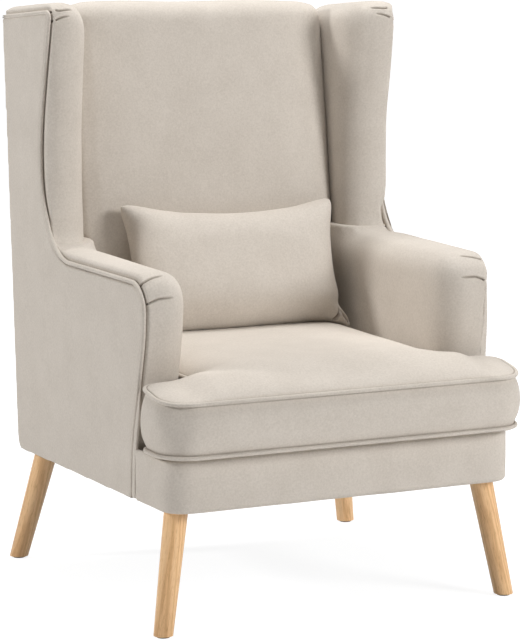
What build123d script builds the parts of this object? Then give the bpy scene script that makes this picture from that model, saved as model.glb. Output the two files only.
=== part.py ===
from build123d import *
import os
from math import cos, hypot, radians, sin, tan

os.makedirs("parts", exist_ok=True)

# Wing armchair with a loose T-shaped seat cushion and a lumbar pillow.
# The chair faces -Y, +Z is up, X = 0 is its plane of symmetry and Z = 0 is the floor.
# Left and right are as seen from the front. Lengths are in millimetres, angles in degrees.

# Side outline, drawn in the plane of the outer side face
HALF_WIDTH = 336.0          # outer side face from the centre plane, at mid depth
SIDE_TOE = 2.0              # each side closes in towards the front by this angle
BODY_BOTTOM = 211.0         # underside of the upholstered body above the floor
ARM_TOP = 580.0             # piping line along the arm
ARM_FRONT = -227.0          # front of the arm at its fist
ARM_FIST_BOTTOM = 495.0     # height where the arm front starts to lean back
ARM_KNEE = -179.0           # front of the arm at the seat deck
ARM_KNEE_HEIGHT = 300.0
ARM_FOOT = -175.0           # front of the outer side panel at its foot
WING_WAIST = 194.0          # deepest point of the wing's hollow front edge
WING_WAIST_LOW = 686.0
WING_WAIST_HIGH = 803.0
WING_ROOT = 132.5           # where the wing's sweep meets the arm line
WING_TIP = 148.0            # front of the wing at its top
WING_TOP_FRONT = 1003.0
WING_TOP_REAR = 985.0
REAR_FOOT = 313.0           # rear edge of the side at its foot
REAR_TOP = 360.0            # rear edge of the side at its top
OUTLINE_RADII = {
    "foot": 8.0,
    "rear_foot": 24.0,
    "rear_top": 4.0,
    "wing_tip": 10.0,
    "waist_high": 380.0,
    "waist_low": 200.0,
    "wing_root": 105.0,
    "fist_top": 46.0,
    "fist_bottom": 300.0,
    "knee": 300.0,
}

# Upholstery build-up of a side
SIDE_PANEL_THICK = 7.0
SIDE_PIPING_RADIUS = 3.4
ARM_THICK = 86.0            # outer face to inner face
PAD_OVER_FRAME = 24.0       # padding in front of and above the side frame
SIDE_RAIL_THICK = 32.0
SIDE_RAIL_WIDTH = 42.0
ARM_SEAM_HEIGHT = 603.0     # seam between arm pad and wing pad

# Padded facing of a side: how far its crest stands proud of the piping line
ARM_FRONT_CROWN = 6.0
ARM_TOP_CROWN = 16.0
WING_FRONT_CROWN = 26.0
WING_TIP_CROWN = 11.5
WING_TOP_CROWN = 18.0
CREST_INSET = 26.0          # crest of the facing, in from the outer face
CREST_ROOT = 158.0          # where the crest of the wing comes down on the arm
CREST_ROOT_RADIUS = 40.0
CREST_TIP_RADIUS = 30.0
# Facing from the piping to its crest: share of the way out from the crest, share of the fall
FACING_PROFILE = [
    (1.0, 1.0),
    (0.95, 0.5),
    (0.8, 0.15),
    (0.0, 0.0),
]
ARM_LINING_ROUND = 40.0     # width of the round between the facing and the inner face
WING_LINING_ROUND = 50.0
LINING_INSET = 46.0         # flat inner face of the arm, in from the crest
LINING_DROP = 34.0          # flat inner face, down from the top of the arm
WING_LINING_DROP = 44.0     # and from the top of the wing
WING_LINING_TIP = 198.0     # front edge of the wing's flat inner face
WING_LINING_WAIST = 210.0
WING_LINING_ROOT = 200.0
LINING_RADIUS = 30.0

# Seat box
SEAT_RAIL_TOP = 278.0
DECK_TOP = 300.0
RAIL_THICK = 28.0
APRON_FRONT = -329.0
APRON_THICK = 24.0
APRON_CORNER = 38.0
APRON_EDGE = 6.0
APRON_DROP = 1.5            # the padded apron hangs below the body
BLOCK_LENGTH = 66.0         # corner blocks, along the side
BLOCK_WIDTH = 71.0          # corner blocks, across the chair
DOWEL_RADIUS = 5.0
DOWEL_LENGTH = 60.0
DOWEL_DROP = 16.0           # dowels below the top of the rails
DUST_COVER_THICK = 1.0

# Seat springs
SPRING_COUNT = 5
SPRING_SPACING = 90.0
SPRING_WIRE_RADIUS = 1.9
SPRING_HALF_WIDTH = 27.0
SPRING_RUNS = 20
CLIP_LENGTH = 16.0
CLIP_DEPTH = 14.0
CLIP_FLOOR = 1.5
SPRING_BEND = 0.48          # bend radius as a share of the pitch

# Back
BACK_FRAME_DEPTH = 56.0     # rear edge of the side to the front of the back frame
OUTER_BACK_THICK = 10.0
BACK_FRAME_TOP = 960.0
BACK_RAIL_WIDTH = 46.0
TUCK_RAIL_BOTTOM = 335.0
WEB_WIDTH = 50.0
WEB_THICK = 2.0
WEB_COUNT = 5
BACK_HALF_WIDTH = 264.0     # before it is trimmed beside the wings
BACK_WING_GAP = 1.0
BACK_TOP = 1022.0
BACK_FRONT_LOW = 191.0      # front of the inner back, at the height below
BACK_FRONT_LOW_HEIGHT = 500.0
BACK_RAKE = 8.2             # rake of its front face
BACK_EDGE_DROP = 30.0       # how far its front falls away at the wings
BACK_TOP_DROP = 28.0        # how far its top falls away at the wings
BACK_TOP_SLOPE = 14.0       # how far its top falls towards the rear
BACK_FOLD_INSET = 1.0       # the fold over the back frame, in from the rear edge
BACK_TOP_INSET = 6.0
BACK_LOW_ROUND = 12.0
BACK_FOLD_ROUND = 3.0
BACK_REAR_ROUND = 12.0
# Stations across the back: share of its half width, share of the drops, rounding of its top edge
BACK_STATIONS = [
    (0.5, 0.0, 36.0),
    (0.82, 0.1, 32.0),
    (0.92, 0.36, 22.0),
    (1.0, 1.0, 9.0),
]

# Legs
LEG_TOP_RADIUS = 20.5
LEG_FOOT_RADIUS = 16.5
LEG_HOLE_RADIUS = 23.5      # cut-outs in the dust cover
FRONT_LEG_INSET = 36.4      # centre of a leg's top, in from the side face
FRONT_LEG_SETBACK = 30.0    # and behind the inside of the apron
FRONT_LEG_SPLAY = (36.0, -25.0)
REAR_LEG_INSET = 47.9
REAR_LEG_SETBACK = 19.0     # in front of the rear rail's rear face
REAR_LEG_SPLAY = (42.0, 46.0)
GLIDE_RADIUS = 11.0
GLIDE_THICK = 3.0
BOLT_RADIUS = 4.0
BOLT_IN_LEG = 36.0
BOLT_IN_BLOCK = 34.0
BOLT_END_ROOM = 1.0
INSERT_RADIUS = 7.0
INSERT_LENGTH = 30.0

# Loose seat cushion
CUSHION_FRONT = -354.0      # piping line
CUSHION_EAR_REAR = -226.0
CUSHION_REAR = 154.0
CUSHION_OVERHANG = 15.4     # ears beyond the side faces
CUSHION_CORNER = 58.0
CUSHION_EAR_CORNER = 42.0
CUSHION_STEP_CORNER = 14.0
CUSHION_BOTTOM_SEAM = 308.0
CUSHION_TOP_SEAM = 397.0
CUSHION_CROWN = 28.0        # top face above the top seam
CUSHION_BELLY = 8.0         # swell of the side band between its seams
CUSHION_BELLY_SHARE = 0.72  # of the swell, half way from a seam to the middle
CUSHION_PIPING_RADIUS = 3.2
CUSHION_WRAP = 14.0         # fibre wrap and cover round the foam core
CUSHION_UNDER_INSET = 30.0  # flat underside, in from the bottom seam
# Crown of the top: share of its height, inset from the top seam
CROWN_PROFILE = [
    (0.5, 14.0),
    (0.8, 32.0),
    (1.0, 58.0),
]
DECK_CORNER = 4.0

# Lumbar pillow
PILLOW_HALF_WIDTH = 213.0
PILLOW_HALF_HEIGHT = 126.0
PILLOW_HALF_THICK = 46.0
PILLOW_CENTRE_X = 16.0
PILLOW_LEAN = 23.5
PILLOW_ROLL = 1.1           # its right end lies lower
PILLOW_COVER = 7.0
PILLOW_BACK_GAP = 0.5
PILLOW_TOP_DRAW = 18.0      # how far the middle of the top edge is drawn in
PILLOW_END_DRAW = 12.0
PILLOW_FOOT_DRAW = 2.0
# Half profile from the knife edge to the middle: share of the half thickness, inset,
# share of the drawn-in edges, swell of the sides
PILLOW_PROFILE = [
    (0.0, 0.0, 1.0, 0.0),
    (0.3, 9.0, 0.6, 2.5),
    (0.62, 28.0, 0.2, 7.0),
    (0.87, 56.0, 0.0, 14.0),
    (1.0, 88.0, 0.0, 20.0),
]

# Clearances
SOFT_GAP = 0.3              # between soft pieces
SEAM_GAP = 1.5              # round the piping, and beside the loose cushion
FIT_GAP = 0.1               # round bolts, dowels and wire
LEAST_RADIUS = 2.0          # of a rounded corner that is drawn in
ROUND_SHARE = 0.98          # of a run that two rounds may take together

BIG = 3000.0                # larger than the chair, for cutting with


def rear_line(height):
    """Rear edge of the chair at a height."""
    share = (height - BODY_BOTTOM) / (WING_TOP_REAR - BODY_BOTTOM)
    return REAR_FOOT + (REAR_TOP - REAR_FOOT) * share


def back_front(height):
    """Front of the inner back at a height, on the centre plane."""
    return BACK_FRONT_LOW + (height - BACK_FRONT_LOW_HEIGHT) * tan(radians(BACK_RAKE))


def side_face(depth, inset=0.0):
    """Distance from the centre plane to the toed-in side face, less an inset, at a depth."""
    return HALF_WIDTH - inset / cos(radians(SIDE_TOE)) + depth * tan(radians(SIDE_TOE))


TOE = Pos(HALF_WIDTH, 0, 0) * Rot(0, 0, -SIDE_TOE) * Pos(-HALF_WIDTH, 0, 0)


def on_right(shape):
    """A piece drawn square to the centre plane, turned to the toe of the right side."""
    return TOE * shape


def on_left(shape):
    """The same piece on the left side."""
    return mirror(on_right(shape), about=Plane.YZ)


def offset_corners(corners, distance):
    """Corners of a closed counter-clockwise outline moved outwards by a distance."""
    moved = []
    for index, here in enumerate(corners):
        before = corners[index - 1]
        after = corners[(index + 1) % len(corners)]
        run_in = (here[0] - before[0], here[1] - before[1])
        run_out = (after[0] - here[0], after[1] - here[1])
        length_in = hypot(*run_in)
        length_out = hypot(*run_out)
        normal_in = (run_in[1] / length_in, -run_in[0] / length_in)
        normal_out = (run_out[1] / length_out, -run_out[0] / length_out)
        stretch = distance / (1.0 + normal_in[0] * normal_out[0] + normal_in[1] * normal_out[1])
        shift_a = (normal_in[0] + normal_out[0]) * stretch
        shift_b = (normal_in[1] + normal_out[1]) * stretch
        moved.append((here[0] + shift_a, here[1] + shift_b))
    return moved


def is_hollow(corners, index):
    before = corners[index - 1]
    here = corners[index]
    after = corners[(index + 1) % len(corners)]
    turn = (here[0] - before[0]) * (after[1] - here[1]) - (here[1] - before[1]) * (after[0] - here[0])
    return turn < 0


def fitted_radii(corners, radii):
    """Radii held back where two rounds would meet on the run between them."""
    count = len(corners)
    runs = []
    for index in range(count):
        after = corners[(index + 1) % count]
        runs.append(Vector(after[0] - corners[index][0], after[1] - corners[index][1]))
    reach = []
    for index in range(count):
        turn = radians(runs[index - 1].get_angle(runs[index]))
        reach.append(radii[index] * tan(turn / 2))
    share = []
    for index in range(count):
        both = reach[index] + reach[(index + 1) % count]
        share.append(min(1.0, ROUND_SHARE * runs[index].length / both))
    return [radii[index] * min(share[index - 1], share[index]) for index in range(count)]


def rounded_outline(corners, radii, distance=0.0):
    """Closed wire in the XY plane, offset outwards by a distance with its rounds kept parallel."""
    moved = offset_corners(corners, distance)
    grown = []
    for index, radius in enumerate(radii):
        change = -distance if is_hollow(corners, index) else distance
        grown.append(max(radius + change, LEAST_RADIUS))
    return FilletPolyline(*moved, radius=fitted_radii(moved, grown), close=True)


SIDE_CORNERS = [
    (ARM_FOOT, BODY_BOTTOM),
    (REAR_FOOT, BODY_BOTTOM),
    (REAR_TOP, WING_TOP_REAR),
    (WING_TIP, WING_TOP_FRONT),
    (WING_WAIST, WING_WAIST_HIGH),
    (WING_WAIST, WING_WAIST_LOW),
    (WING_ROOT, ARM_TOP),
    (ARM_FRONT, ARM_TOP),
    (ARM_FRONT, ARM_FIST_BOTTOM),
    (ARM_KNEE, ARM_KNEE_HEIGHT),
]
SIDE_RADII = [
    OUTLINE_RADII["foot"],
    OUTLINE_RADII["rear_foot"],
    OUTLINE_RADII["rear_top"],
    OUTLINE_RADII["wing_tip"],
    OUTLINE_RADII["waist_high"],
    OUTLINE_RADII["waist_low"],
    OUTLINE_RADII["wing_root"],
    OUTLINE_RADII["fist_top"],
    OUTLINE_RADII["fist_bottom"],
    OUTLINE_RADII["knee"],
]


def side_outline(distance, x):
    """The side outline, offset outwards, in the upright plane at x."""
    return Plane.YZ.offset(x) * rounded_outline(SIDE_CORNERS, SIDE_RADII, distance)


def side_prism(distance, x_inner, x_outer):
    return extrude(make_face(side_outline(distance, x_inner)), amount=x_outer - x_inner, dir=(1, 0, 0))


def span(x0, x1, y0, y1, z0, z1):
    """A box between two corners."""
    return Pos((x0 + x1) / 2, (y0 + y1) / 2, (z0 + z1) / 2) * Box(x1 - x0, y1 - y0, z1 - z0)


def raked_slab(front_inset, rear_inset, z0, z1, x0, x1):
    """A slab along the raked rear edge, between two insets from it."""
    corners = [
        (rear_line(z0) - front_inset, z0),
        (rear_line(z0) - rear_inset, z0),
        (rear_line(z1) - rear_inset, z1),
        (rear_line(z1) - front_inset, z1),
    ]
    face = make_face(Plane.YZ.offset(x0) * Polyline(*corners, close=True))
    return extrude(face, amount=x1 - x0, dir=(1, 0, 0))


parts = {}


def add_pair(name, right_piece):
    """A finished right-hand piece and its mirror image on the left."""
    parts["left_" + name] = mirror(right_piece, about=Plane.YZ)
    parts["right_" + name] = right_piece


def add(name, shape):
    parts[name] = shape


# Elastic webbing straps, tacked across the front of the back posts
back_reach = side_face(REAR_FOOT, SIDE_PANEL_THICK + SIDE_RAIL_THICK / 2)
top_rail_bottom = BACK_FRAME_TOP - BACK_RAIL_WIDTH
tuck_rail_top = TUCK_RAIL_BOTTOM + BACK_RAIL_WIDTH
webs = []
web_pitch = (top_rail_bottom - tuck_rail_top) / WEB_COUNT
for index in range(WEB_COUNT):
    low = tuck_rail_top + (index + 0.5) * web_pitch - WEB_WIDTH / 2
    webs.append(raked_slab(BACK_FRAME_DEPTH + WEB_THICK, BACK_FRAME_DEPTH, low, low + WEB_WIDTH,
                           -back_reach, back_reach))
add("back_webbing", Compound(children=webs))

# Side frames: sawn boards that follow the side outline inside the padding
panel_inner = HALF_WIDTH - SIDE_PANEL_THICK
frame_inner = panel_inner - SIDE_RAIL_THICK
pad_inner = HALF_WIDTH - ARM_THICK
frame_layer = on_right(span(frame_inner, panel_inner, -BIG, BIG, -BIG, BIG))

frame_space = side_prism(-PAD_OVER_FRAME, frame_inner, panel_inner)
frame_hollow = side_prism(-PAD_OVER_FRAME - SIDE_RAIL_WIDTH, frame_inner, panel_inner)
frame_ring = frame_space - frame_hollow
arm_rail_top = ARM_TOP - PAD_OVER_FRAME
arm_rail_bottom = arm_rail_top - SIDE_RAIL_WIDTH
wing_post_rear = WING_WAIST + PAD_OVER_FRAME + SIDE_RAIL_WIDTH


def wing_top_line(depth):
    """Underside of the wing's top rail at a depth."""
    slope = (WING_TOP_REAR - WING_TOP_FRONT) / (REAR_TOP - WING_TIP)
    return WING_TOP_FRONT + slope * (depth - WING_TIP) - PAD_OVER_FRAME - SIDE_RAIL_WIDTH


top_corners = [(-BIG, wing_top_line(-BIG)), (BIG, wing_top_line(BIG)), (BIG, BIG), (-BIG, BIG)]
top_region = extrude(make_face(Plane.YZ * Polyline(*top_corners, close=True)), amount=BIG, dir=(1, 0, 0))

back_space = raked_slab(BACK_FRAME_DEPTH, -BIG, 0, BIG, 0, BIG)
pad_back_space = raked_slab(BACK_FRAME_DEPTH + WEB_THICK + SOFT_GAP, -BIG, 0, BACK_FRAME_TOP, 0, BIG)
behind = raked_slab(SOFT_GAP, -BIG, 0, BIG, 0, BIG)

arm_rail = frame_space & span(0, BIG, -BIG, BIG, arm_rail_bottom, arm_rail_top)
arm_post = frame_ring & span(0, BIG, -BIG, 0, SEAT_RAIL_TOP, arm_rail_bottom)
wing_post = frame_ring & span(0, BIG, WING_ROOT, wing_post_rear, arm_rail_top, BIG)
back_post = raked_slab(BACK_FRAME_DEPTH, OUTER_BACK_THICK, SEAT_RAIL_TOP, BACK_FRAME_TOP, 0, BIG)
add_pair("arm_rail", on_right(arm_rail) - back_space - webs)
add_pair("arm_post", on_right(arm_post))
add_pair("wing_post", on_right(wing_post - top_region))
add_pair("wing_top_rail", on_right(frame_space & top_region) - back_space - webs)
add_pair("back_post", back_post & frame_layer)

# Padded arms and wings: lofted from the piping seam over the crest to the flat inner face.
# The wing keeps the toe of the side; the inner face of the arm runs parallel to the seat.
CREST_CORNERS = [
    (ARM_FOOT - ARM_FRONT_CROWN, BODY_BOTTOM),
    (REAR_FOOT, BODY_BOTTOM),
    (REAR_TOP, WING_TOP_REAR + WING_TOP_CROWN),
    (WING_TIP - WING_TIP_CROWN, WING_TOP_FRONT + WING_TOP_CROWN),
    (WING_WAIST - WING_FRONT_CROWN, WING_WAIST_HIGH),
    (WING_WAIST - WING_FRONT_CROWN, WING_WAIST_LOW),
    (CREST_ROOT, ARM_TOP + ARM_TOP_CROWN),
    (ARM_FRONT - ARM_FRONT_CROWN, ARM_TOP + ARM_TOP_CROWN),
    (ARM_FRONT - ARM_FRONT_CROWN, ARM_FIST_BOTTOM),
    (ARM_KNEE - ARM_FRONT_CROWN, ARM_KNEE_HEIGHT),
]
LINING_CORNERS = [
    (CREST_CORNERS[0][0] + LINING_INSET, BODY_BOTTOM),
    (REAR_FOOT, BODY_BOTTOM),
    (REAR_TOP, CREST_CORNERS[2][1] - WING_LINING_DROP),
    (WING_LINING_TIP, CREST_CORNERS[3][1] - WING_LINING_DROP),
    (WING_LINING_WAIST, WING_WAIST_HIGH),
    (WING_LINING_WAIST, WING_WAIST_LOW),
    (WING_LINING_ROOT, CREST_CORNERS[6][1] - LINING_DROP),
    (CREST_CORNERS[7][0] + LINING_INSET, CREST_CORNERS[7][1] - LINING_DROP),
    (CREST_CORNERS[8][0] + LINING_INSET, ARM_FIST_BOTTOM),
    (CREST_CORNERS[9][0] + LINING_INSET, ARM_KNEE_HEIGHT),
]
CREST_RADII = SIDE_RADII[:3] + [CREST_TIP_RADIUS] + SIDE_RADII[4:6]
CREST_RADII += [CREST_ROOT_RADIUS] + SIDE_RADII[7:]
LINING_RADII = SIDE_RADII[:3] + [LINING_RADIUS] + SIDE_RADII[4:6]
LINING_RADII += [CREST_ROOT_RADIUS, LINING_RADIUS] + SIDE_RADII[8:]


def between(first, second, share):
    return first + (second - first) * share


def pad_section(x, start, end, share):
    """Face in the upright plane at x, part of the way from one outline to another."""
    corners = [
        (between(a[0], b[0], share), between(a[1], b[1], share)) for a, b in zip(start[0], end[0])
    ]
    radii = [between(a, b, share) for a, b in zip(start[1], end[1])]
    return make_face(Plane.YZ.offset(x) * rounded_outline(corners, radii))


piping_line = (SIDE_CORNERS, SIDE_RADII)
crest_line = (CREST_CORNERS, CREST_RADII)
lining_line = (LINING_CORNERS, LINING_RADII)
crest_plane = HALF_WIDTH - CREST_INSET
facing = []
for out, fall in FACING_PROFILE:
    x = between(crest_plane, panel_inner, out)
    facing.append(on_right(pad_section(x, crest_line, piping_line, fall)))
arm_inner = side_face(ARM_FRONT - ARM_FRONT_CROWN, ARM_THICK)
wing_lining = []
arm_lining = []
for turn in (0, 30, 60, 90):
    rise = 1 - sin(radians(turn))
    share = 1 - cos(radians(turn))
    wing_x = pad_inner + WING_LINING_ROUND * rise
    wing_lining.append(on_right(pad_section(wing_x, crest_line, lining_line, share)))
    arm_lining.append(pad_section(arm_inner + ARM_LINING_ROUND * rise, crest_line, lining_line, share))
pad_spaces = [on_right(frame_space), pad_back_space, behind]
arm_pad = loft(facing + arm_lining, ruled=True) - pad_spaces
wing_pad = loft(facing + wing_lining, ruled=True) - pad_spaces
add_pair("arm_pad", arm_pad & span(0, BIG, -BIG, BIG, SEAT_RAIL_TOP, ARM_SEAM_HEIGHT))
add_pair("wing_pad", wing_pad & span(0, BIG, -BIG, BIG, ARM_SEAM_HEIGHT, BIG))

# Flat outer side panels with the piping sewn into their front and top edge
panel_edge = -SIDE_PIPING_RADIUS - SOFT_GAP
add_pair("side_panel", on_right(side_prism(panel_edge, panel_inner, HALF_WIDTH)))
piping_corners = [SIDE_CORNERS[0]] + SIDE_CORNERS[:1:-1]
piping_radii = SIDE_RADII[:2:-1]
piping_plane = Plane.YZ.offset(HALF_WIDTH - SIDE_PIPING_RADIUS)
piping_path = piping_plane * FilletPolyline(*piping_corners, radius=piping_radii)
piping_start = Plane(origin=piping_path @ 0, z_dir=piping_path % 0)
side_piping = sweep(piping_start * Circle(SIDE_PIPING_RADIUS), path=piping_path)
add_pair("side_piping", on_right(side_piping))

# Seat box: four corner blocks for the legs, rails doweled between them
rail_bottom = BODY_BOTTOM + DUST_COVER_THICK
apron_rear = min(ARM_FOOT, ARM_KNEE) - SIDE_PIPING_RADIUS - SEAM_GAP
apron_inside = APRON_FRONT + APRON_THICK
inner_corner = APRON_CORNER - APRON_THICK


def seat_box(front, inset, radius, rear, z0, z1):
    """A prism over the seat's plan, with rounded front corners."""
    corners = [
        (-side_face(front, inset), front),
        (side_face(front, inset), front),
        (side_face(rear, inset), rear),
        (-side_face(rear, inset), rear),
    ]
    plan = FilletPolyline(*corners, radius=[radius, radius, 0, 0], close=True)
    return extrude(make_face(Pos(0, 0, z0) * plan), amount=z1 - z0, dir=(0, 0, 1))


rear_block_end = rear_line(rail_bottom) - OUTER_BACK_THICK
block_inner = panel_inner - BLOCK_WIDTH
block_layer = on_right(span(block_inner, panel_inner, -BIG, BIG, rail_bottom, SEAT_RAIL_TOP))
inside_apron = seat_box(apron_inside, SIDE_PANEL_THICK, inner_corner, REAR_FOOT, rail_bottom, SEAT_RAIL_TOP)
front_block_end = apron_inside + BLOCK_LENGTH
rear_block_front = rear_block_end - BLOCK_LENGTH
front_block = block_layer & inside_apron & span(0, BIG, -BIG, front_block_end, 0, BIG)
rear_block = block_layer & span(0, BIG, rear_block_front, rear_block_end, 0, BIG)
blocks = [front_block, mirror(front_block, about=Plane.YZ), rear_block, mirror(rear_block, about=Plane.YZ)]

rail_layer = on_right(span(frame_inner, panel_inner, -BIG, BIG, rail_bottom, SEAT_RAIL_TOP))
side_rail = rail_layer & span(0, BIG, front_block_end, rear_block_front, 0, BIG)
rail_reach = side_face(0, BLOCK_WIDTH)
front_rail_rear = apron_inside + RAIL_THICK
front_rail = span(-rail_reach, rail_reach, apron_inside, front_rail_rear, rail_bottom, SEAT_RAIL_TOP)
rear_rail_front = rear_block_end - RAIL_THICK
rear_rail = span(-rail_reach, rail_reach, rear_rail_front, rear_block_end, rail_bottom, SEAT_RAIL_TOP)

dowel_height = SEAT_RAIL_TOP - DOWEL_DROP
dowels = []
for sign in (-1, 1):
    for depth in (apron_inside + RAIL_THICK / 2, rear_block_end - RAIL_THICK / 2):
        across = sign * side_face(depth, SIDE_PANEL_THICK + BLOCK_WIDTH)
        dowels.append(Pos(across, depth, dowel_height) * Rot(0, 90, 0) * Cylinder(DOWEL_RADIUS, DOWEL_LENGTH))
    for depth in (front_block_end, rear_block_front):
        across = sign * side_face(depth, SIDE_PANEL_THICK + SIDE_RAIL_THICK / 2)
        lie = Rot(90, 0, -sign * SIDE_TOE)
        dowels.append(Pos(across, depth, dowel_height) * lie * Cylinder(DOWEL_RADIUS, DOWEL_LENGTH))
dowel_holes = [offset(dowel, FIT_GAP) for dowel in dowels]

# Legs: turned tapered cones, splayed outwards, screwed up into the corner blocks
front_leg_depth = apron_inside + FRONT_LEG_SETBACK
rear_leg_depth = rear_block_end - REAR_LEG_SETBACK
front_leg_top = (side_face(front_leg_depth, FRONT_LEG_INSET), front_leg_depth)
rear_leg_top = (side_face(rear_leg_depth, REAR_LEG_INSET), rear_leg_depth)
LEG_NAMES = {
    "front_left_leg": (-1, front_leg_top, FRONT_LEG_SPLAY),
    "front_right_leg": (1, front_leg_top, FRONT_LEG_SPLAY),
    "rear_left_leg": (-1, rear_leg_top, REAR_LEG_SPLAY),
    "rear_right_leg": (1, rear_leg_top, REAR_LEG_SPLAY),
}
grip = (Align.CENTER, Align.CENTER, Align.MIN)
above_rails = span(-BIG, BIG, -BIG, BIG, rail_bottom, BIG)
hole_radius = BOLT_RADIUS + FIT_GAP
bolt_length = BOLT_IN_LEG + BOLT_IN_BLOCK
bolts = []
inserts = []
insert_holes = []
glides = []
leg_holes = []
for name, (sign, top, splay) in LEG_NAMES.items():
    top_point = Vector(sign * top[0], top[1], rail_bottom)
    foot_point = Vector(sign * (top[0] + splay[0]), top[1] + splay[1], GLIDE_THICK)
    along = (top_point - foot_point).normalized()
    length = (top_point - foot_point).length
    flare = (LEG_TOP_RADIUS - LEG_FOOT_RADIUS) / length
    spare = LEG_TOP_RADIUS
    from_foot = Plane(origin=foot_point - along * spare, z_dir=along)
    foot_radius = LEG_FOOT_RADIUS - flare * spare
    top_radius = LEG_TOP_RADIUS + flare * spare
    cone = from_foot * Cone(foot_radius, top_radius, length + 2 * spare, align=grip)
    leg = cone & span(-BIG, BIG, -BIG, BIG, GLIDE_THICK, rail_bottom)
    from_bolt = Plane(origin=top_point - along * BOLT_IN_LEG, z_dir=along)
    bolt_hole = from_bolt * Cylinder(hole_radius, bolt_length + BOLT_END_ROOM, align=grip)
    add(name, leg - bolt_hole)
    bolts.append(from_bolt * Cylinder(BOLT_RADIUS, bolt_length, align=grip))
    from_insert = Plane(origin=top_point - along * INSERT_RADIUS, z_dir=along)
    sleeve = from_insert * Cylinder(INSERT_RADIUS, INSERT_LENGTH + INSERT_RADIUS, align=grip) & above_rails
    inserts.append(sleeve - bolt_hole)
    insert_holes.append(sleeve + (bolt_hole & above_rails))
    glides.append(Pos(foot_point.X, foot_point.Y, 0) * Cylinder(GLIDE_RADIUS, GLIDE_THICK, align=grip))
    leg_hole = Cylinder(LEG_HOLE_RADIUS, BODY_BOTTOM * 2, align=grip)
    leg_holes.append(Pos(top_point.X, top_point.Y, 0) * leg_hole)
add("leg_bolts", Compound(children=bolts))
add("leg_inserts", Compound(children=inserts))
add("floor_glides", Compound(children=glides))

add("corner_blocks", Compound(children=[block - dowel_holes - insert_holes for block in blocks]))
add_pair("side_rail", side_rail - dowel_holes)
add("front_rail", front_rail - blocks - dowel_holes)
add("rear_rail", rear_rail - blocks - dowel_holes)
add("frame_dowels", Compound(children=dowels))

# Front apron: a padded band round the front of the seat box
apron_shell = seat_box(APRON_FRONT, 0, APRON_CORNER, apron_rear, BODY_BOTTOM - APRON_DROP, DECK_TOP)
apron_void = seat_box(apron_inside, SIDE_PANEL_THICK, inner_corner, REAR_FOOT, 0, BIG)
apron_rims = apron_shell.edges().group_by(Axis.Z)[0] + apron_shell.edges().group_by(Axis.Z)[-1]
apron_rims = [edge for edge in apron_rims if edge.center().Y < apron_rear - SOFT_GAP]
add("front_apron", fillet(apron_rims, APRON_EDGE) - apron_void)

# Dust cover, cut out round the legs
dust_cover = seat_box(apron_inside, SIDE_PANEL_THICK, inner_corner, rear_block_end, BODY_BOTTOM, rail_bottom)
add("dust_cover", dust_cover - leg_holes)

# Sinuous seat springs, hooked over the front and rear rails in clips
spring_height = SEAT_RAIL_TOP + CLIP_FLOOR + SPRING_WIRE_RADIUS + FIT_GAP
spring_front = apron_inside + RAIL_THICK / 2
spring_rear = rear_block_end - RAIL_THICK / 2
spring_pitch = (spring_rear - spring_front) / (SPRING_RUNS - 1)
spring_points = []
for run in range(SPRING_RUNS):
    first = -1 if run % 2 == 0 else 1
    depth = spring_front + run * spring_pitch
    spring_points.append((first * SPRING_HALF_WIDTH, depth, spring_height))
    spring_points.append((-first * SPRING_HALF_WIDTH, depth, spring_height))
spring_path = FilletPolyline(*spring_points, radius=spring_pitch * SPRING_BEND)
spring_start = Plane(origin=spring_path @ 0, z_dir=spring_path % 0)
spring = sweep(spring_start * RegularPolygon(SPRING_WIRE_RADIUS, 6), path=spring_path)
spring_places = [(index - (SPRING_COUNT - 1) / 2) * SPRING_SPACING for index in range(SPRING_COUNT)]
add("seat_springs", Compound(children=[Pos(across, 0, 0) * spring for across in spring_places]))
spring_gap = spring_pitch - 2 * SPRING_WIRE_RADIUS
print(f"least gap between the runs of a seat spring: {spring_gap:.1f} mm")

clip_height = 2 * CLIP_FLOOR + 2 * SPRING_WIRE_RADIUS + 2 * FIT_GAP
clip = Box(CLIP_LENGTH, CLIP_DEPTH, clip_height)
clip -= Rot(0, 90, 0) * Cylinder(SPRING_WIRE_RADIUS + FIT_GAP, CLIP_LENGTH)
clip_depths = (spring_front, spring_rear)
clips = [Pos(across, depth, spring_height) * clip for across in spring_places for depth in clip_depths]
add("spring_clips", Compound(children=clips))


def t_corners(front, ear_rear, rear, half_width, arm_gap):
    """Plan of a T cushion: ears in front of the arms, a body between them."""
    body = arm_inner - arm_gap
    return [
        (-half_width, front),
        (half_width, front),
        (half_width, ear_rear),
        (body, ear_rear),
        (body, rear),
        (-body, rear),
        (-body, ear_rear),
        (-half_width, ear_rear),
    ]


def t_radii(front, ear, step):
    return [front, front, ear, step, step, step, step, ear]


# Seat deck: a pad over the springs, under the loose cushion
deck_bottom = spring_height + clip_height / 2 + SOFT_GAP
deck_front = apron_inside + SOFT_GAP
deck_half = side_face(deck_front, SIDE_PANEL_THICK) - SOFT_GAP
deck_ear = ARM_KNEE - ARM_FRONT_CROWN - 2 * SEAM_GAP
deck_corners = t_corners(deck_front, deck_ear, back_front(DECK_TOP) - BACK_EDGE_DROP, deck_half, SOFT_GAP)
deck_wire = rounded_outline(deck_corners, t_radii(inner_corner, DECK_CORNER, DECK_CORNER))
deck_face = make_face(Pos(0, 0, deck_bottom) * deck_wire)
add("seat_deck", extrude(deck_face, amount=DECK_TOP - deck_bottom, dir=(0, 0, 1)))

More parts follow.
